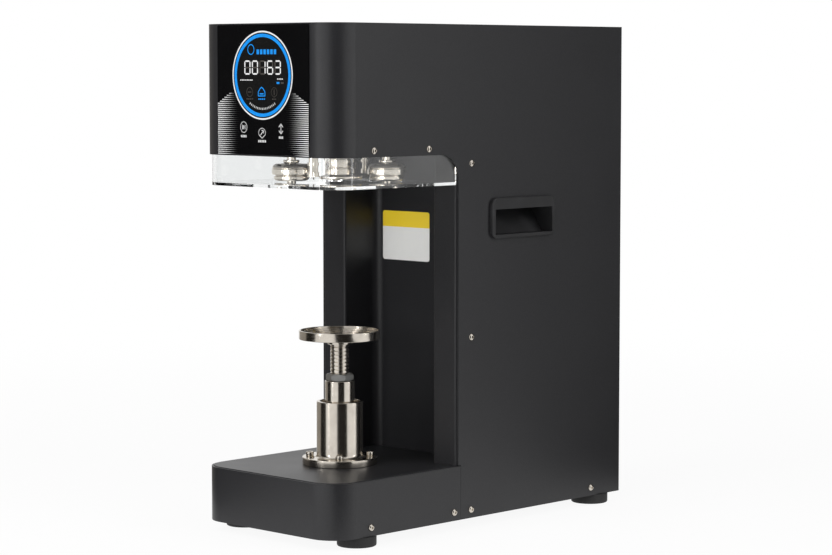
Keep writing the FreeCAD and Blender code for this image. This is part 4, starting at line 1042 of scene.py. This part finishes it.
        def chamfered(level: float) -> list[Vector]:
            """A ring where the cone of the chamfer meets the hexagon."""
            rise = min(level - low, high - level)
            cone = flat + (reach - flat) * min(1.0, rise / drop)
            hexagon = ring(reach, level, Section.HEX, count)
            circle = ring(cone, level, Section.ROUND, count)
            return [min(pair, key=lambda point: point.to_2d().length)
                    for pair in zip(hexagon, circle)]

        levels = [low + drop * share for share in (0.0, 0.25, 0.5, 0.75, 1.0)]
        levels += [high - drop * share for share in (1.0, 0.75, 0.5, 0.25, 0.0)]
        rows = [ring(flat - 0.7, low, Section.ROUND, count)] + [chamfered(z) for z in levels]
        rows += [ring(flat - 0.7, high, Section.ROUND, count),
                 ring(bore + 0.8, high, Section.ROUND, count),
                 ring(bore, high - 0.8, Section.ROUND, count),
                 ring(bore, low + 0.8, Section.ROUND, count),
                 ring(bore + 0.8, low, Section.ROUND, count)]
        mesh = moved(lofted(rows, loop=True), self.axis(), (0.0, 0.0, self.nut_turn_deg))
        shop.piece("nut_hexagon", mesh, "grey_nut", Body.NUT, "grey_nut", ["adjusting_nut"], 20.0)

    def tray(self, shop: Workshop) -> None:
        """The tray with its rim, two ledges for can ends and the boss below."""
        box = Extent.of("can_tray")
        top, low = box.high.z, box.low.z
        height = self.tray_height
        under = top - height
        reach = box.size.x / 2.0
        rim = reach - self.tray_rim
        outer, inner = self.ledges
        stem = self.stem_radius
        mesh = turned([
            (0.0, under + 1.0, 0.0), (stem, under + 1.0, 0.0), (stem, low, 0.2),
            (self.tray_boss_radius, low, 0.9), (self.tray_boss_radius, under, 0.9),
            (reach, under, 1.0), (reach, top, 0.7), (rim, top, 0.7),
            (rim, top - height * 0.32, 0.3), (outer, top - height * 0.32, 0.4),
            (outer, top - height * 0.5, 0.3), (inner, top - height * 0.5, 0.4),
            (inner, top - height * 0.68, 0.3), (0.0, top - height * 0.68, 0.0)], count=144)
        shop.piece("tray_turned", moved(mesh, self.axis()), "polished", Body.TRAY, "polished",
                   ["can_tray"])

    def build(self, shop: Workshop) -> None:
        """Makes every part of the lifter."""
        self.sleeve(shop)
        self.bolts(shop)
        self.piston(shop)
        self.stem(shop)
        self.nut(shop)
        self.tray(shop)


# ------------------------------------------------------------------ seaming head
@dataclass
class SeamingHead:
    """The chuck that enters the lid and the two rollers on their hanging pins."""

    chuck_flange_height: float = 3.2
    chuck_boss_radius: float = 17.0
    pin_radius: float = 4.9
    collar_radius: float = 8.6

    def chuck(self, shop: Workshop) -> None:
        """The still chuck with its lipped flange and a shallow groove round its boss."""
        box = Extent.of("seaming_chuck")
        low, top = box.low.z, box.high.z
        reach, boss = box.size.x / 2.0, self.chuck_boss_radius
        step = low + self.chuck_flange_height
        mesh = turned([
            (0.0, low + 0.8, 0.0), (boss - 4.0, low + 0.8, 0.4), (boss - 3.2, low, 0.4),
            (reach - 0.9, low, 0.6), (reach, low + 1.2, 0.5), (reach, step, 0.4),
            (boss + 1.6, step, 0.3), (boss, step + 1.6, 0.8), (boss, step + 8.0, 0.2),
            (boss - 0.5, step + 8.4, 0.2), (boss - 0.5, step + 9.4, 0.2),
            (boss, step + 9.8, 0.2), (boss, top, 0.9), (0.0, top, 0.0)], count=128)
        middle = box.middle
        shop.piece("chuck_turned", moved(mesh, (middle.x, middle.y, 0.0)), "polished",
                   Body.CABINET, "polished", ["seaming_chuck"])

    def roller(self, shop: Workshop, name: str, body: Body, groove: float) -> None:
        """One seaming roller.

        Args:
            shop: where it is made.
            name: the CAD node that it stands for.
            body: the body that turns with it.
            groove: the depth of its seam groove.
        """
        box = Extent.of(name)
        low, reach = box.low.z, box.size.x / 2.0
        bore = self.pin_radius + 0.05
        mesh = turned([
            (bore, low, 0.2), (reach - 4.6, low, 0.5), (reach - 2.1, low + 1.6, 0.4),
            (reach - 2.1, low + 4.6, 0.3), (reach - groove, low + 5.1, 0.3),
            (reach - groove, low + 5.9, 0.3), (reach, low + 6.8, 0.5), (reach, low + 12.7, 0.5),
            (reach - 0.9, low + 13.2, 0.2), (reach - 0.9, low + 13.7, 0.2),
            (reach - 0.3, low + 14.0, 0.2), (reach - 0.9, low + 15.6, 0.5),
            (reach - 4.2, box.high.z, 0.8), (bore + 6.5, box.high.z, 0.3),
            (bore + 5.8, box.high.z - 0.8, 0.3), (bore, box.high.z - 0.8, 0.2)],
            loop=True, count=112)
        middle = box.middle
        shop.piece(name + "_turned", moved(mesh, (middle.x, middle.y, 0.0)), "polished", body,
                   "polished", [name])

    def pin(self, shop: Workshop, name: str, body: Body) -> None:
        """A roller pin: a shank with a chamfered lower end and a collar above the roller.

        Args:
            shop: where it is made.
            name: the CAD node that it stands for.
            body: the arm that carries it.
        """
        box = Extent.of(name)
        roller = Extent.of(name.replace("_pin", ""))
        low, top = box.low.z, box.high.z
        mesh = turned([
            (0.0, low, 0.0), (self.pin_radius - 1.4, low, 0.5), (self.pin_radius, low + 1.4, 0.5),
            (self.pin_radius, roller.high.z + 0.5, 0.0),
            (self.collar_radius - 1.2, roller.high.z + 0.5, 0.3),
            (self.collar_radius, roller.high.z + 1.5, 0.5),
            (self.collar_radius, roller.high.z + 4.1, 0.6),
            (self.pin_radius, roller.high.z + 4.1, 0.0), (self.pin_radius, top, 0.3),
            (0.0, top, 0.0)], count=64)
        middle = roller.middle
        shop.piece(name + "_turned", moved(mesh, (middle.x, middle.y, 0.0)), "polished", body,
                   "polished", [name])

    def build(self, shop: Workshop) -> None:
        """Makes the chuck, both rollers and both pins."""
        self.chuck(shop)
        self.roller(shop, "first_roller", Body.FIRST_ROLLER, 3.6)
        self.roller(shop, "second_roller", Body.SECOND_ROLLER, 2.8)
        self.pin(shop, "first_roller_pin", Body.FIRST_ARM)
        self.pin(shop, "second_roller_pin", Body.SECOND_ARM)


# ------------------------------------------------------------------ touch panel
class Segment(Enum):
    """The seven bars of a digit: across and up in halves of a cell, and whether it lies flat."""

    TOP = (0.0, 1.0, True)
    TOP_RIGHT = (1.0, 0.5, False)
    LOW_RIGHT = (1.0, -0.5, False)
    BOTTOM = (0.0, -1.0, True)
    LOW_LEFT = (-1.0, -0.5, False)
    TOP_LEFT = (-1.0, 0.5, False)
    MIDDLE = (0.0, 0.0, True)


RIGHT_BARS = {Segment.TOP_RIGHT, Segment.LOW_RIGHT}
DIGIT_BARS = {
    "0": set(Segment) - {Segment.MIDDLE},
    "1": RIGHT_BARS,
    "3": set(Segment) - {Segment.LOW_LEFT, Segment.TOP_LEFT},
    "6": set(Segment) - {Segment.TOP_RIGHT},
}


@dataclass
class TouchPanel:
    """The glossy overlay of the head with its ring display, stripes and touch keys."""

    corner: float = 1.6
    overlay: float = 0.9
    overlay_bevel: float = 0.25
    mark: float = 0.06
    sunk: float = 0.02
    ring_middle: float = 487.3
    ring_radii: tuple[float, float] = (45.9, 44.3)
    lamp_radii: tuple[float, float] = (42.9, 39.4)
    lamp_count: int = 96
    digits: str = "00163"
    digit_cell: Point = (7.9, 13.2)
    digit_pitch: float = 11.55
    digit_middle: Point = (0.3, 495.35)
    bar_width: float = 1.55
    stripe_pitch: float = 2.1
    stripe_top: float = 468.4
    stripe_count: int = 31
    stripe_edge: float = 69.3
    stripe_share: float = 0.75
    stripe_inner: float = 36.5
    stripe_wave: float = 1.2
    left_edge: Point = (51.5, 3.6)
    right_edge: Point = (50.2, 3.9)
    right_start: Point = (48.0, 2.9)
    scale_radius: float = 34.6
    scale_step_deg: float = 4.1
    scale_ticks: int = 17

    def face(self) -> float:
        """The level of the overlay's front, along Y."""
        return Extent.of("control_panel").high.y - self.overlay

    def flat(self, mesh: bpy.types.Mesh, at: Point = (0.0, 0.0)) -> bpy.types.Mesh:
        """Stands a mark that was drawn lying down on the front of the panel."""
        return moved(mesh, (at[0], self.face(), at[1]), (90.0, 0.0, 0.0))

    def band(self, outer: float, inner: float) -> bpy.types.Mesh:
        """A flat round band."""
        return turned([(inner, -self.sunk, 0.0), (outer, -self.sunk, 0.0),
                       (outer, self.mark, 0.0), (inner, self.mark, 0.0)], loop=True, count=128)

    def bar(self) -> bpy.types.Mesh:
        """A bar of unit size with pointed ends, lying down."""
        outline = [(-0.5, 0.0), (-0.41, -0.5), (0.41, -0.5), (0.5, 0.0), (0.41, 0.5), (-0.41, 0.5)]
        return plate(outline, 1.0)

    def block(self) -> bpy.types.Mesh:
        """A square of unit size, lying down."""
        return plate([(-0.5, -0.5), (0.5, -0.5), (0.5, 0.5), (-0.5, 0.5)], 1.0)

    def spot(self, across: float, up: float, width: float, height: float,
             turn_deg: float = 0.0) -> Spot:
        """Where a unit mark goes on the front of the panel.

        Args:
            across: its middle along X.
            up: its middle along Z.
            width: its width.
            height: its height.
            turn_deg: how far it is turned, counter-clockwise.

        Returns:
            The spot.
        """
        return Spot((across, self.face() + self.sunk, up), (90.0, -turn_deg, 0.0),
                    (width, height, self.mark + self.sunk))

    def glass(self, shop: Workshop) -> None:
        """The overlay and the slightly lighter round window in it."""
        box = Extent.of("control_panel")
        outline = rounded_box(box.size.x, box.size.z, self.corner)
        pane = moved(plate(outline, self.overlay, self.overlay_bevel),
                     (box.middle.x, box.high.y, box.middle.z), (90.0, 0.0, 0.0))
        shop.piece("panel_overlay", pane, "overlay", Body.CABINET, "overlay", ["control_panel"])
        reach = self.lamp_radii[1] - 0.3
        window = turned([(0.0, -self.sunk, 0.0), (reach, -self.sunk, 0.0),
                         (reach, self.sunk, 0.0), (0.0, self.sunk, 0.0)], count=128)
        shop.piece("panel_window", self.flat(window, (0.0, self.ring_middle)), "window",
                   Body.CABINET, "overlay")

    def rings(self, shop: Workshop) -> None:
        """The white outer ring and the blue ring of lamps inside it."""
        white = self.flat(self.band(*self.ring_radii), (0.0, self.ring_middle))
        shop.piece("panel_white_ring", white, "white_lamp", Body.CABINET, "overlay")
        outer, inner = self.lamp_radii
        middle = (outer + inner) / 2.0
        step = 360.0 / self.lamp_count
        width = 2.0 * math.pi * outer / self.lamp_count * 1.04
        spots = []
        for index in range(self.lamp_count):
            angle = math.radians(step * index)
            spots.append(self.spot(middle * math.sin(angle),
                                   self.ring_middle + middle * math.cos(angle),
                                   width, outer - inner, -step * index))
        lamps = shop.repeat(self.block(), spots, "blue_lamp")
        shop.piece("panel_blue_ring", lamps, "blue_lamp", Body.CABINET, "overlay")

    def number(self, shop: Workshop) -> None:
        """The counter: lit bars in white, and the unlit ones faintly."""
        cell, tall = self.digit_cell
        lit, unlit = [], []
        for index, digit in enumerate(self.digits):
            middle = self.digit_middle[0] + (index - 2) * self.digit_pitch
            for segment in Segment:
                across, up, level = segment.value
                length = cell - 1.1 if level else tall / 2.0 - 0.5
                spot = self.spot(middle + across * cell / 2.0,
                                 self.digit_middle[1] + up * tall / 2.0,
                                 length, self.bar_width, 0.0 if level else 90.0)
                (lit if segment in DIGIT_BARS[digit] else unlit).append(spot)
        shop.piece("panel_digits_lit", shop.repeat(self.bar(), lit, "white_lamp"), "white_lamp",
                   Body.CABINET, "overlay")
        shop.piece("panel_digits_unlit", shop.repeat(self.bar(), unlit, "dim_print"),
                   "dim_print", Body.CABINET, "overlay")

    def stripes(self, shop: Workshop) -> None:
        """The fading stripes on both sides of the ring."""
        left, right = [], []
        clear_of_ring = self.ring_radii[0] + 1.6
        for index in range(self.stripe_count):
            up = self.stripe_top - self.stripe_pitch * index
            drop = self.ring_middle - up
            ring_edge = math.sqrt(max(0.0, clear_of_ring ** 2 - drop ** 2))
            inner = max(self.stripe_inner + self.stripe_wave * math.sin(1.3 * index), ring_edge)
            outer = min(self.stripe_edge, self.left_edge[0] + self.left_edge[1] * index)
            share = self.stripe_share
            left.append(self.spot(-(inner + outer) / 2.0, up, outer - inner, share))
            below = self.stripe_count - 1 - index
            inner = max(inner, self.right_start[0] - self.right_start[1] * below)
            outer = min(self.stripe_edge, self.right_edge[0] + self.right_edge[1] * index)
            right.append(self.spot((inner + outer) / 2.0, up, outer - inner, share))
        wedge = plate([(-0.5, -0.06), (0.5, -0.46), (0.5, 0.46), (-0.5, 0.06)], 1.0)
        mirrored = plate([(0.5, 0.06), (-0.5, 0.46), (-0.5, -0.46), (0.5, -0.06)], 1.0)
        both = gathered([shop.repeat(mirrored, left, "stripe_print"),
                         shop.repeat(wedge, right, "stripe_print")])
        shop.piece("panel_stripes", both, "stripe_print", Body.CABINET, "overlay")

    def captions(self, shop: Workshop) -> None:
        """Rows of plain blocks where small captions would stand."""
        def row(middle: float, up: float, count: int, width: float, height: float) -> list[Spot]:
            """A row of equal blocks about a middle."""
            step = width * 1.45
            return [self.spot(middle + (index - (count - 1) / 2.0) * step, up, width, height)
                    for index in range(count)]

        blue = row(6.3, 511.5, 6, 3.6, 5.0) + row(-1.2, 462.8, 4, 1.9, 1.3)
        blue += [self.spot(23.8, 479.5, 4.2, 2.0)]
        white = row(-24.5, 482.4, 8, 1.7, 1.2) + row(26.8, 483.5, 4, 1.6, 1.3)
        white += row(-29.0, 424.0, 4, 1.5, 2.4) + row(-0.8, 419.2, 5, 1.7, 2.4)
        white += row(27.9, 423.5, 3, 1.6, 2.4)
        for index in range(self.scale_ticks):
            angle = math.radians(self.scale_step_deg * (index - (self.scale_ticks - 1) / 2.0))
            white.append(self.spot(self.scale_radius * math.sin(angle),
                                   self.ring_middle - self.scale_radius * math.cos(angle),
                                   0.9, 2.2, math.degrees(angle)))
        dim = row(-19.5, 462.8, 4, 1.9, 1.1) + row(17.9, 462.8, 3, 1.5, 1.1)
        dim += [self.spot(30.1, 479.5, 4.2, 1.8)]
        for name, spots, finish in (("blue", blue, "blue_lamp"), ("white", white, "white_print"),
                                    ("dim", dim, "dim_print")):
            shop.piece(f"panel_blocks_{name}", shop.repeat(self.block(), spots, finish), finish,
                       Body.CABINET, "overlay")

    def stroke(self, points: Sequence[Point], width: float, closed: bool = True) -> list[Spot]:
        """Bars along the sides of an outline.

        Args:
            points: its corners.
            width: the width of the line.
            closed: whether the last corner joins the first.

        Returns:
            One spot for each side.
        """
        spots = []
        ends = points[1:] + points[:1] if closed else points[1:]
        for start, end in zip(points, ends):
            run = Vector(end) - Vector(start)
            middle = (Vector(end) + Vector(start)) / 2.0
            spots.append(self.spot(middle.x, middle.y, run.length + width * 0.9, width,
                                   math.degrees(math.atan2(run.y, run.x))))
        return spots

    def round_points(self, middle: Point, reach: Point, count: int = 20, start: float = 0.0,
                     sweep: float = 360.0) -> list[Point]:
        """Points round an ellipse, or part of one."""
        whole = sweep >= 360.0
        steps = [start + sweep * index / (count if whole else count - 1) for index in range(count)]
        return [(middle[0] + reach[0] * math.cos(math.radians(angle)),
                 middle[1] + reach[1] * math.sin(math.radians(angle))) for angle in steps]

    def icons(self, shop: Workshop) -> None:
        """Four signs in the window and three touch keys below it."""
        house = [(-6.3, 466.0), (3.9, 466.0), (3.9, 470.2), (1.3, 473.4), (-1.2, 475.0),
                 (-3.7, 473.4), (-6.3, 470.2)]
        blue = self.stroke(house, 1.0) + self.stroke([(-3.8, 468.2), (1.4, 468.2)], 1.3, False)
        blue += self.stroke(self.round_points((-17.4, 514.0), (4.8, 5.1)), 0.9)
        dim = self.stroke(self.round_points((-19.5, 470.0), (4.6, 4.8)), 0.9)
        dim += self.stroke([(-22.1, 470.0), (-16.9, 470.0)], 0.9, False)
        dim += self.stroke(self.round_points((17.9, 470.0), (4.4, 4.8)), 0.9)
        dim += self.stroke([(17.9, 467.0), (17.9, 473.0)], 0.9, False)
        white = self.stroke(self.round_points((-29.0, 433.4), (5.0, 5.6)), 0.8)
        white += self.stroke([(-30.9, 431.2), (-30.9, 435.6), (-28.3, 433.4)], 0.9)
        white += self.stroke([(-27.0, 431.3), (-27.0, 435.5)], 0.9, False)
        drop = [(-0.8, 422.3)] + self.round_points((-0.8, 428.0), (5.2, 4.7), 15, -30.0, 240.0)
        white += self.stroke(drop, 0.8)
        white += self.stroke([(-3.0, 425.6), (1.6, 430.4)], 0.9, False)
        white += self.stroke([(-1.2, 430.4), (1.6, 430.4), (1.6, 427.6)], 0.9, False)
        middle = 432.4
        for end in (1.0, -1.0):
            arrow = [(25.0, middle + 2.0 * end), (27.9, middle + 5.2 * end),
                     (30.8, middle + 2.0 * end)]
            white += self.stroke(arrow, 0.9, False)
        white += self.stroke([(27.9, 428.6), (27.9, 436.2)], 0.9, False)
        for name, spots, finish in (("lit", blue, "blue_lamp"), ("dim", dim, "dim_print"),
                                    ("keys", white, "white_print")):
            shop.piece(f"panel_signs_{name}", shop.repeat(self.bar(), spots, finish), finish,
                       Body.CABINET, "overlay")

    def build(self, shop: Workshop) -> None:
        """Makes the overlay and everything that shows on it."""
        self.glass(shop)
        self.rings(shop)
        self.number(shop)
        self.stripes(shop)
        self.captions(shop)
        self.icons(shop)


# ------------------------------------------------------------------ cabinet
@dataclass
class Cabinet:
    """Small things on the sheet metal: the blank sticker and the foot pads."""

    sticker_across: Point = (-57.6, 14.4)
    sticker_levels: Point = (281.5, 336.1)
    sticker_thickness: float = 0.15

    def sticker(self, shop: Workshop) -> None:
        """A blank two-colour sticker on the back of the recess."""
        wall = Extent.of("column_panel").high.y - 2.0
        left, right = self.sticker_across
        low, high = self.sticker_levels
        outline = rounded_box(right - left, high - low, 3.0)
        mesh = moved(plate(outline, self.sticker_thickness),
                     ((left + right) / 2.0, wall - 0.02, (low + high) / 2.0), (90.0, 0.0, 0.0))
        shop.piece("recess_sticker", mesh, "sticker", Body.CABINET, "overlay")

    def feet(self, shop: Workshop) -> None:
        """Four rubber feet with a round edge and a dished middle."""
        feet = islands(shop.frame["nodes"]["feet"].data)
        height, reach = feet[0].size.z, feet[0].size.x / 2.0
        foot = turned([(0.0, 3.0, 0.0), (5.5, 3.0, 0.3), (5.5, 1.2, 0.4), (reach - 9.0, 1.2, 0.4),
                       (reach - 7.8, 0.0, 0.6), (reach, 0.0, 2.2), (reach, height, 0.8),
                       (0.0, height, 0.0)], count=64)
        spots = [Spot((place.middle.x, place.middle.y, 0.0)) for place in feet]
        shop.piece("rubber_feet", shop.repeat(foot, spots, "rubber"), "rubber", Body.CABINET,
                   "rubber", ["feet"])

    def build(self, shop: Workshop) -> None:
        """Makes the sticker and the feet."""
        self.sticker(shop)
        self.feet(shop)


# ------------------------------------------------------------------ studio
@dataclass
class Studio:
    """A plain pale floor, white surroundings, soft lamps, dark cards and the camera."""

    azimuth_deg: float = 44.08
    distance: float = 2.8
    height: float = 0.4957
    tilt_deg: float = 4.731
    reach_in_sensors: float = 3.0545
    floor_size: float = 60.0
    floor_glow: float = 0.92
    floor_fade: Point = (0.5, 2.0)
    fill_level: float = 0.45
    away: float = 2.2
    aim_height: float = 0.28
    card_start: float = 0.34
    card_lift: float = 0.002
    card_top: float = 2.6
    card_bends: int = 12

    def camera(self) -> None:
        """Sets the camera level, turned towards the machine and tilted down a little."""
        data = bpy.data.cameras.new("camera")
        data.lens = data.sensor_width * self.reach_in_sensors
        data.clip_end = 90.0
        camera = bpy.data.objects.new("camera", data)
        turn = math.radians(self.azimuth_deg)
        camera.location = (self.distance * math.sin(turn), -self.distance * math.cos(turn),
                           self.height)
        camera.rotation_euler = Euler((math.radians(90.0 - self.tilt_deg), 0.0, turn))
        bpy.context.collection.objects.link(camera)
        bpy.context.scene.camera = camera

    def seen_white(self, graph: Graph) -> Wire:
        """One for the rays that should meet plain white.

        Args:
            graph: the node tree that uses it.

        Returns:
            1 for camera, glossy and transmission rays, else 0.
        """
        rays = [graph.node("ShaderNodeLightPath", output=name)
                for name in ("Is Camera Ray", "Is Glossy Ray", "Is Transmission Ray")]
        return (rays[0] + rays[1] + rays[2]).above(0.5)

    def world(self) -> None:
        """White to look at, and a gentler light on the machine."""
        world = bpy.data.worlds.new("surroundings")
        world.use_nodes = True
        tree = world.node_tree
        tree.nodes.clear()
        rays = tree.nodes.new("ShaderNodeLightPath")
        seen = tree.nodes.new("ShaderNodeMath")
        both = tree.nodes.new("ShaderNodeMath")
        both.operation = seen.operation = "ADD"
        tree.links.new(rays.outputs["Is Camera Ray"], both.inputs[0])
        tree.links.new(rays.outputs["Is Glossy Ray"], both.inputs[1])
        tree.links.new(both.outputs[0], seen.inputs[0])
        tree.links.new(rays.outputs["Is Transmission Ray"], seen.inputs[1])
        level = tree.nodes.new("ShaderNodeMapRange")
        level.inputs["To Min"].default_value = self.fill_level
        tree.links.new(seen.outputs[0], level.inputs["Value"])
        shade = tree.nodes.new("ShaderNodeBackground")
        shade.inputs["Color"].default_value = (1.0, 1.0, 1.0, 1.0)
        tree.links.new(level.outputs[0], shade.inputs["Strength"])
        output = tree.nodes.new("ShaderNodeOutputWorld")
        tree.links.new(shade.outputs[0], output.inputs["Surface"])
        bpy.context.scene.world = world

    def floor(self) -> None:
        """A white floor that keeps a trace of the machine's shadow and has no far edge."""
        graph = Graph("floor_white")
        across, along, _ = graph.axes()
        far = (across * across + along * along).root().within(*self.floor_fade)
        matte = graph.node("ShaderNodeBsdfDiffuse", {"Color": (0.95, 0.95, 0.95)})
        glow = graph.node("ShaderNodeEmission", {"Color": (1.0, 1.0, 1.0), "Strength": 1.0})
        share = (self.floor_glow + (1.0 - self.floor_glow) * far) * self.seen_white(graph)
        mixed = graph.node("ShaderNodeMixShader", {0: share, 1: matte, 2: glow})
        half = self.floor_size / 2.0
        corners = [(-half, -half, 0.0), (half, -half, 0.0), (half, half, 0.0), (-half, half, 0.0)]
        mesh = bpy.data.meshes.new("floor")
        mesh.from_pydata(corners, [], [(0, 1, 2, 3)])
        mesh.materials.append(graph.close(mixed))
        floor = bpy.data.objects.new("floor", mesh)
        bpy.context.collection.objects.link(floor)

    def place(self, bearing_deg: float, away: float, height: float) -> Vector:
        """A place round the machine.

        Args:
            bearing_deg: its direction from the machine, from the camera's, to the right.
            away: its distance from the middle of the machine.
            height: its height.

        Returns:
            The place, in metres.
        """
        turn = math.radians(self.azimuth_deg + bearing_deg)
        return Vector((away * math.sin(turn), -away * math.cos(turn), height))

    def lamp(self, name: str, bearing_deg: float, height: float, size: Point, power: float,
             mirrored: bool = False) -> None:
        """Hangs one lamp that faces the machine.

        Args:
            name: the lamp's name.
            bearing_deg: its direction round the machine, from the camera's, to the right.
            height: its height.
            size: the width and height of its face.
            power: its output in watts.
            mirrored: whether bright metal and gloss show it.
        """
        data = bpy.data.lights.new(name, "AREA")
        data.energy = power
        data.shape = "RECTANGLE"
        data.size, data.size_y = size
        lamp = bpy.data.objects.new(name, data)
        lamp.location = self.place(bearing_deg, self.away, height)
        aim = Vector((0.0, 0.0, self.aim_height)) - lamp.location
        lamp.rotation_euler = aim.to_track_quat("-Z", "Y").to_euler()
        lamp.visible_glossy = mirrored
        bpy.context.collection.objects.link(lamp)

    def card(self, name: str, start_deg: float, end_deg: float, tone: float) -> None:
        """Bends a card round a part of the set, over the floor and up, for gloss alone to show.

        Args:
            name: the card's name.
            start_deg: the bearing of its left edge.
            end_deg: the bearing of its right edge.
            tone: how light it is.
        """
        graph = Graph(name)
        paper = graph.node("ShaderNodeEmission", {"Color": (tone, tone * 0.94, tone * 0.86)})
        count = self.card_bends
        rows = ((self.card_start, self.card_lift), (self.away, self.card_lift),
                (self.away, self.card_top))
        corners = [self.place(start_deg + (end_deg - start_deg) * index / count, away, level)
                   for away, level in rows for index in range(count + 1)]
        faces = [(row + index, row + index + 1, row + index + count + 2, row + index + count + 1)
                 for row in (0, count + 1) for index in range(count)]
        mesh = bpy.data.meshes.new(name)
        mesh.from_pydata(corners, [], faces)
        mesh.materials.append(graph.close(paper))
        card = bpy.data.objects.new(name, mesh)
        card.visible_camera = card.visible_diffuse = card.visible_shadow = False
        card.visible_transmission = False
        bpy.context.collection.objects.link(card)

    def build(self) -> None:
        """Sets up everything that is not the machine."""
        bpy.context.scene.view_settings.view_transform = "Standard"
        self.camera()
        self.world()
        self.floor()
        self.lamp("key_lamp", -55.0, 1.9, (1.4, 1.4), 28.0)
        self.lamp("right_lamp", 60.0, 1.5, (1.2, 1.2), 18.0)
        self.lamp("front_lamp", -30.0, 0.45, (1.0, 0.7), 16.0)
        self.lamp("left_strip", -54.0, 0.9, (0.12, 1.5), 4.0, True)
        self.lamp("right_strip", 76.0, 0.9, (0.12, 1.5), 2.0, True)
        self.card("front_card", -13.0, 35.0, 0.02)
        self.card("right_card", 90.0, 160.0, 0.02)
        self.card("left_card", -103.0, -68.0, 0.02)
        self.card("far_left_card", -150.0, -103.0, 0.35)
        log.info("built the studio")


# ------------------------------------------------------------------ the whole machine
SLOT_FINISHES = {
    "black_coat": PowderCoat("black_powder_coat"),
    "raw_steel": PlatedSteel("zinc_plate"),
    "polished": TurnedMetal("polished_nickel"),
    "clear": ClearAcrylic("clear_acrylic"),
    "overlay": PanelGlass("panel_glass"),
    "black_plastic": Moulding("black_plastic", (0.012, 0.012, 0.013)),
    "rubber": Moulding("foot_rubber", (0.014, 0.014, 0.014), 0.62),
    "belt": Moulding("belt_rubber", (0.018, 0.018, 0.018), 0.7),
    "aluminium": PlatedSteel("milled_aluminium", (0.68, 0.69, 0.70), 0.28),
    "board": Moulding("solder_mask", (0.012, 0.09, 0.035), 0.35),
    "motor_paint": PowderCoat("motor_paint", (0.02, 0.02, 0.022), 0.38),
    "grey_nut": PlatedSteel("matte_nut", (0.42, 0.42, 0.41), 0.46),
}
EXTRA_FINISHES = {
    "thread": TurnedMetal("thread_nickel", roughness=0.15),
    "window": PanelGlass("panel_window", (0.0065, 0.0065, 0.0065)),
    "blue_lamp": Lamp("blue_lamp", (0.0, 0.33, 1.0)),
    "white_lamp": Lamp("white_lamp", (0.95, 0.95, 0.95)),
    "white_print": Ink("white_print", (0.55, 0.55, 0.55)),
    "dim_print": Ink("dim_print", (0.05, 0.045, 0.04)),
    "stripe_print": Ink("stripe_print", (0.85, 0.85, 0.85), fade_mm=(38.0, 64.0)),
    "sticker": StickerFilm("blank_sticker", band_level=0.3185),
}


def main() -> None:
    """Builds the machine's looks piece by piece."""
    logging.basicConfig(level=logging.INFO, format="%(message)s")
    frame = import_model()
    finishes = {name: finish.material()
                for name, finish in (SLOT_FINISHES | EXTRA_FINISHES).items()}
    shop = Workshop(frame, finishes)
    for row in frame["record"]["subparts"]:
        shop.dress(row["node"], row["material_slot"])
    for assembly in (ButtonScrews(), Lifter(), SeamingHead(), TouchPanel(), Cabinet()):
        assembly.build(shop)
    Studio().build()


if __name__ == "__main__":
    main()
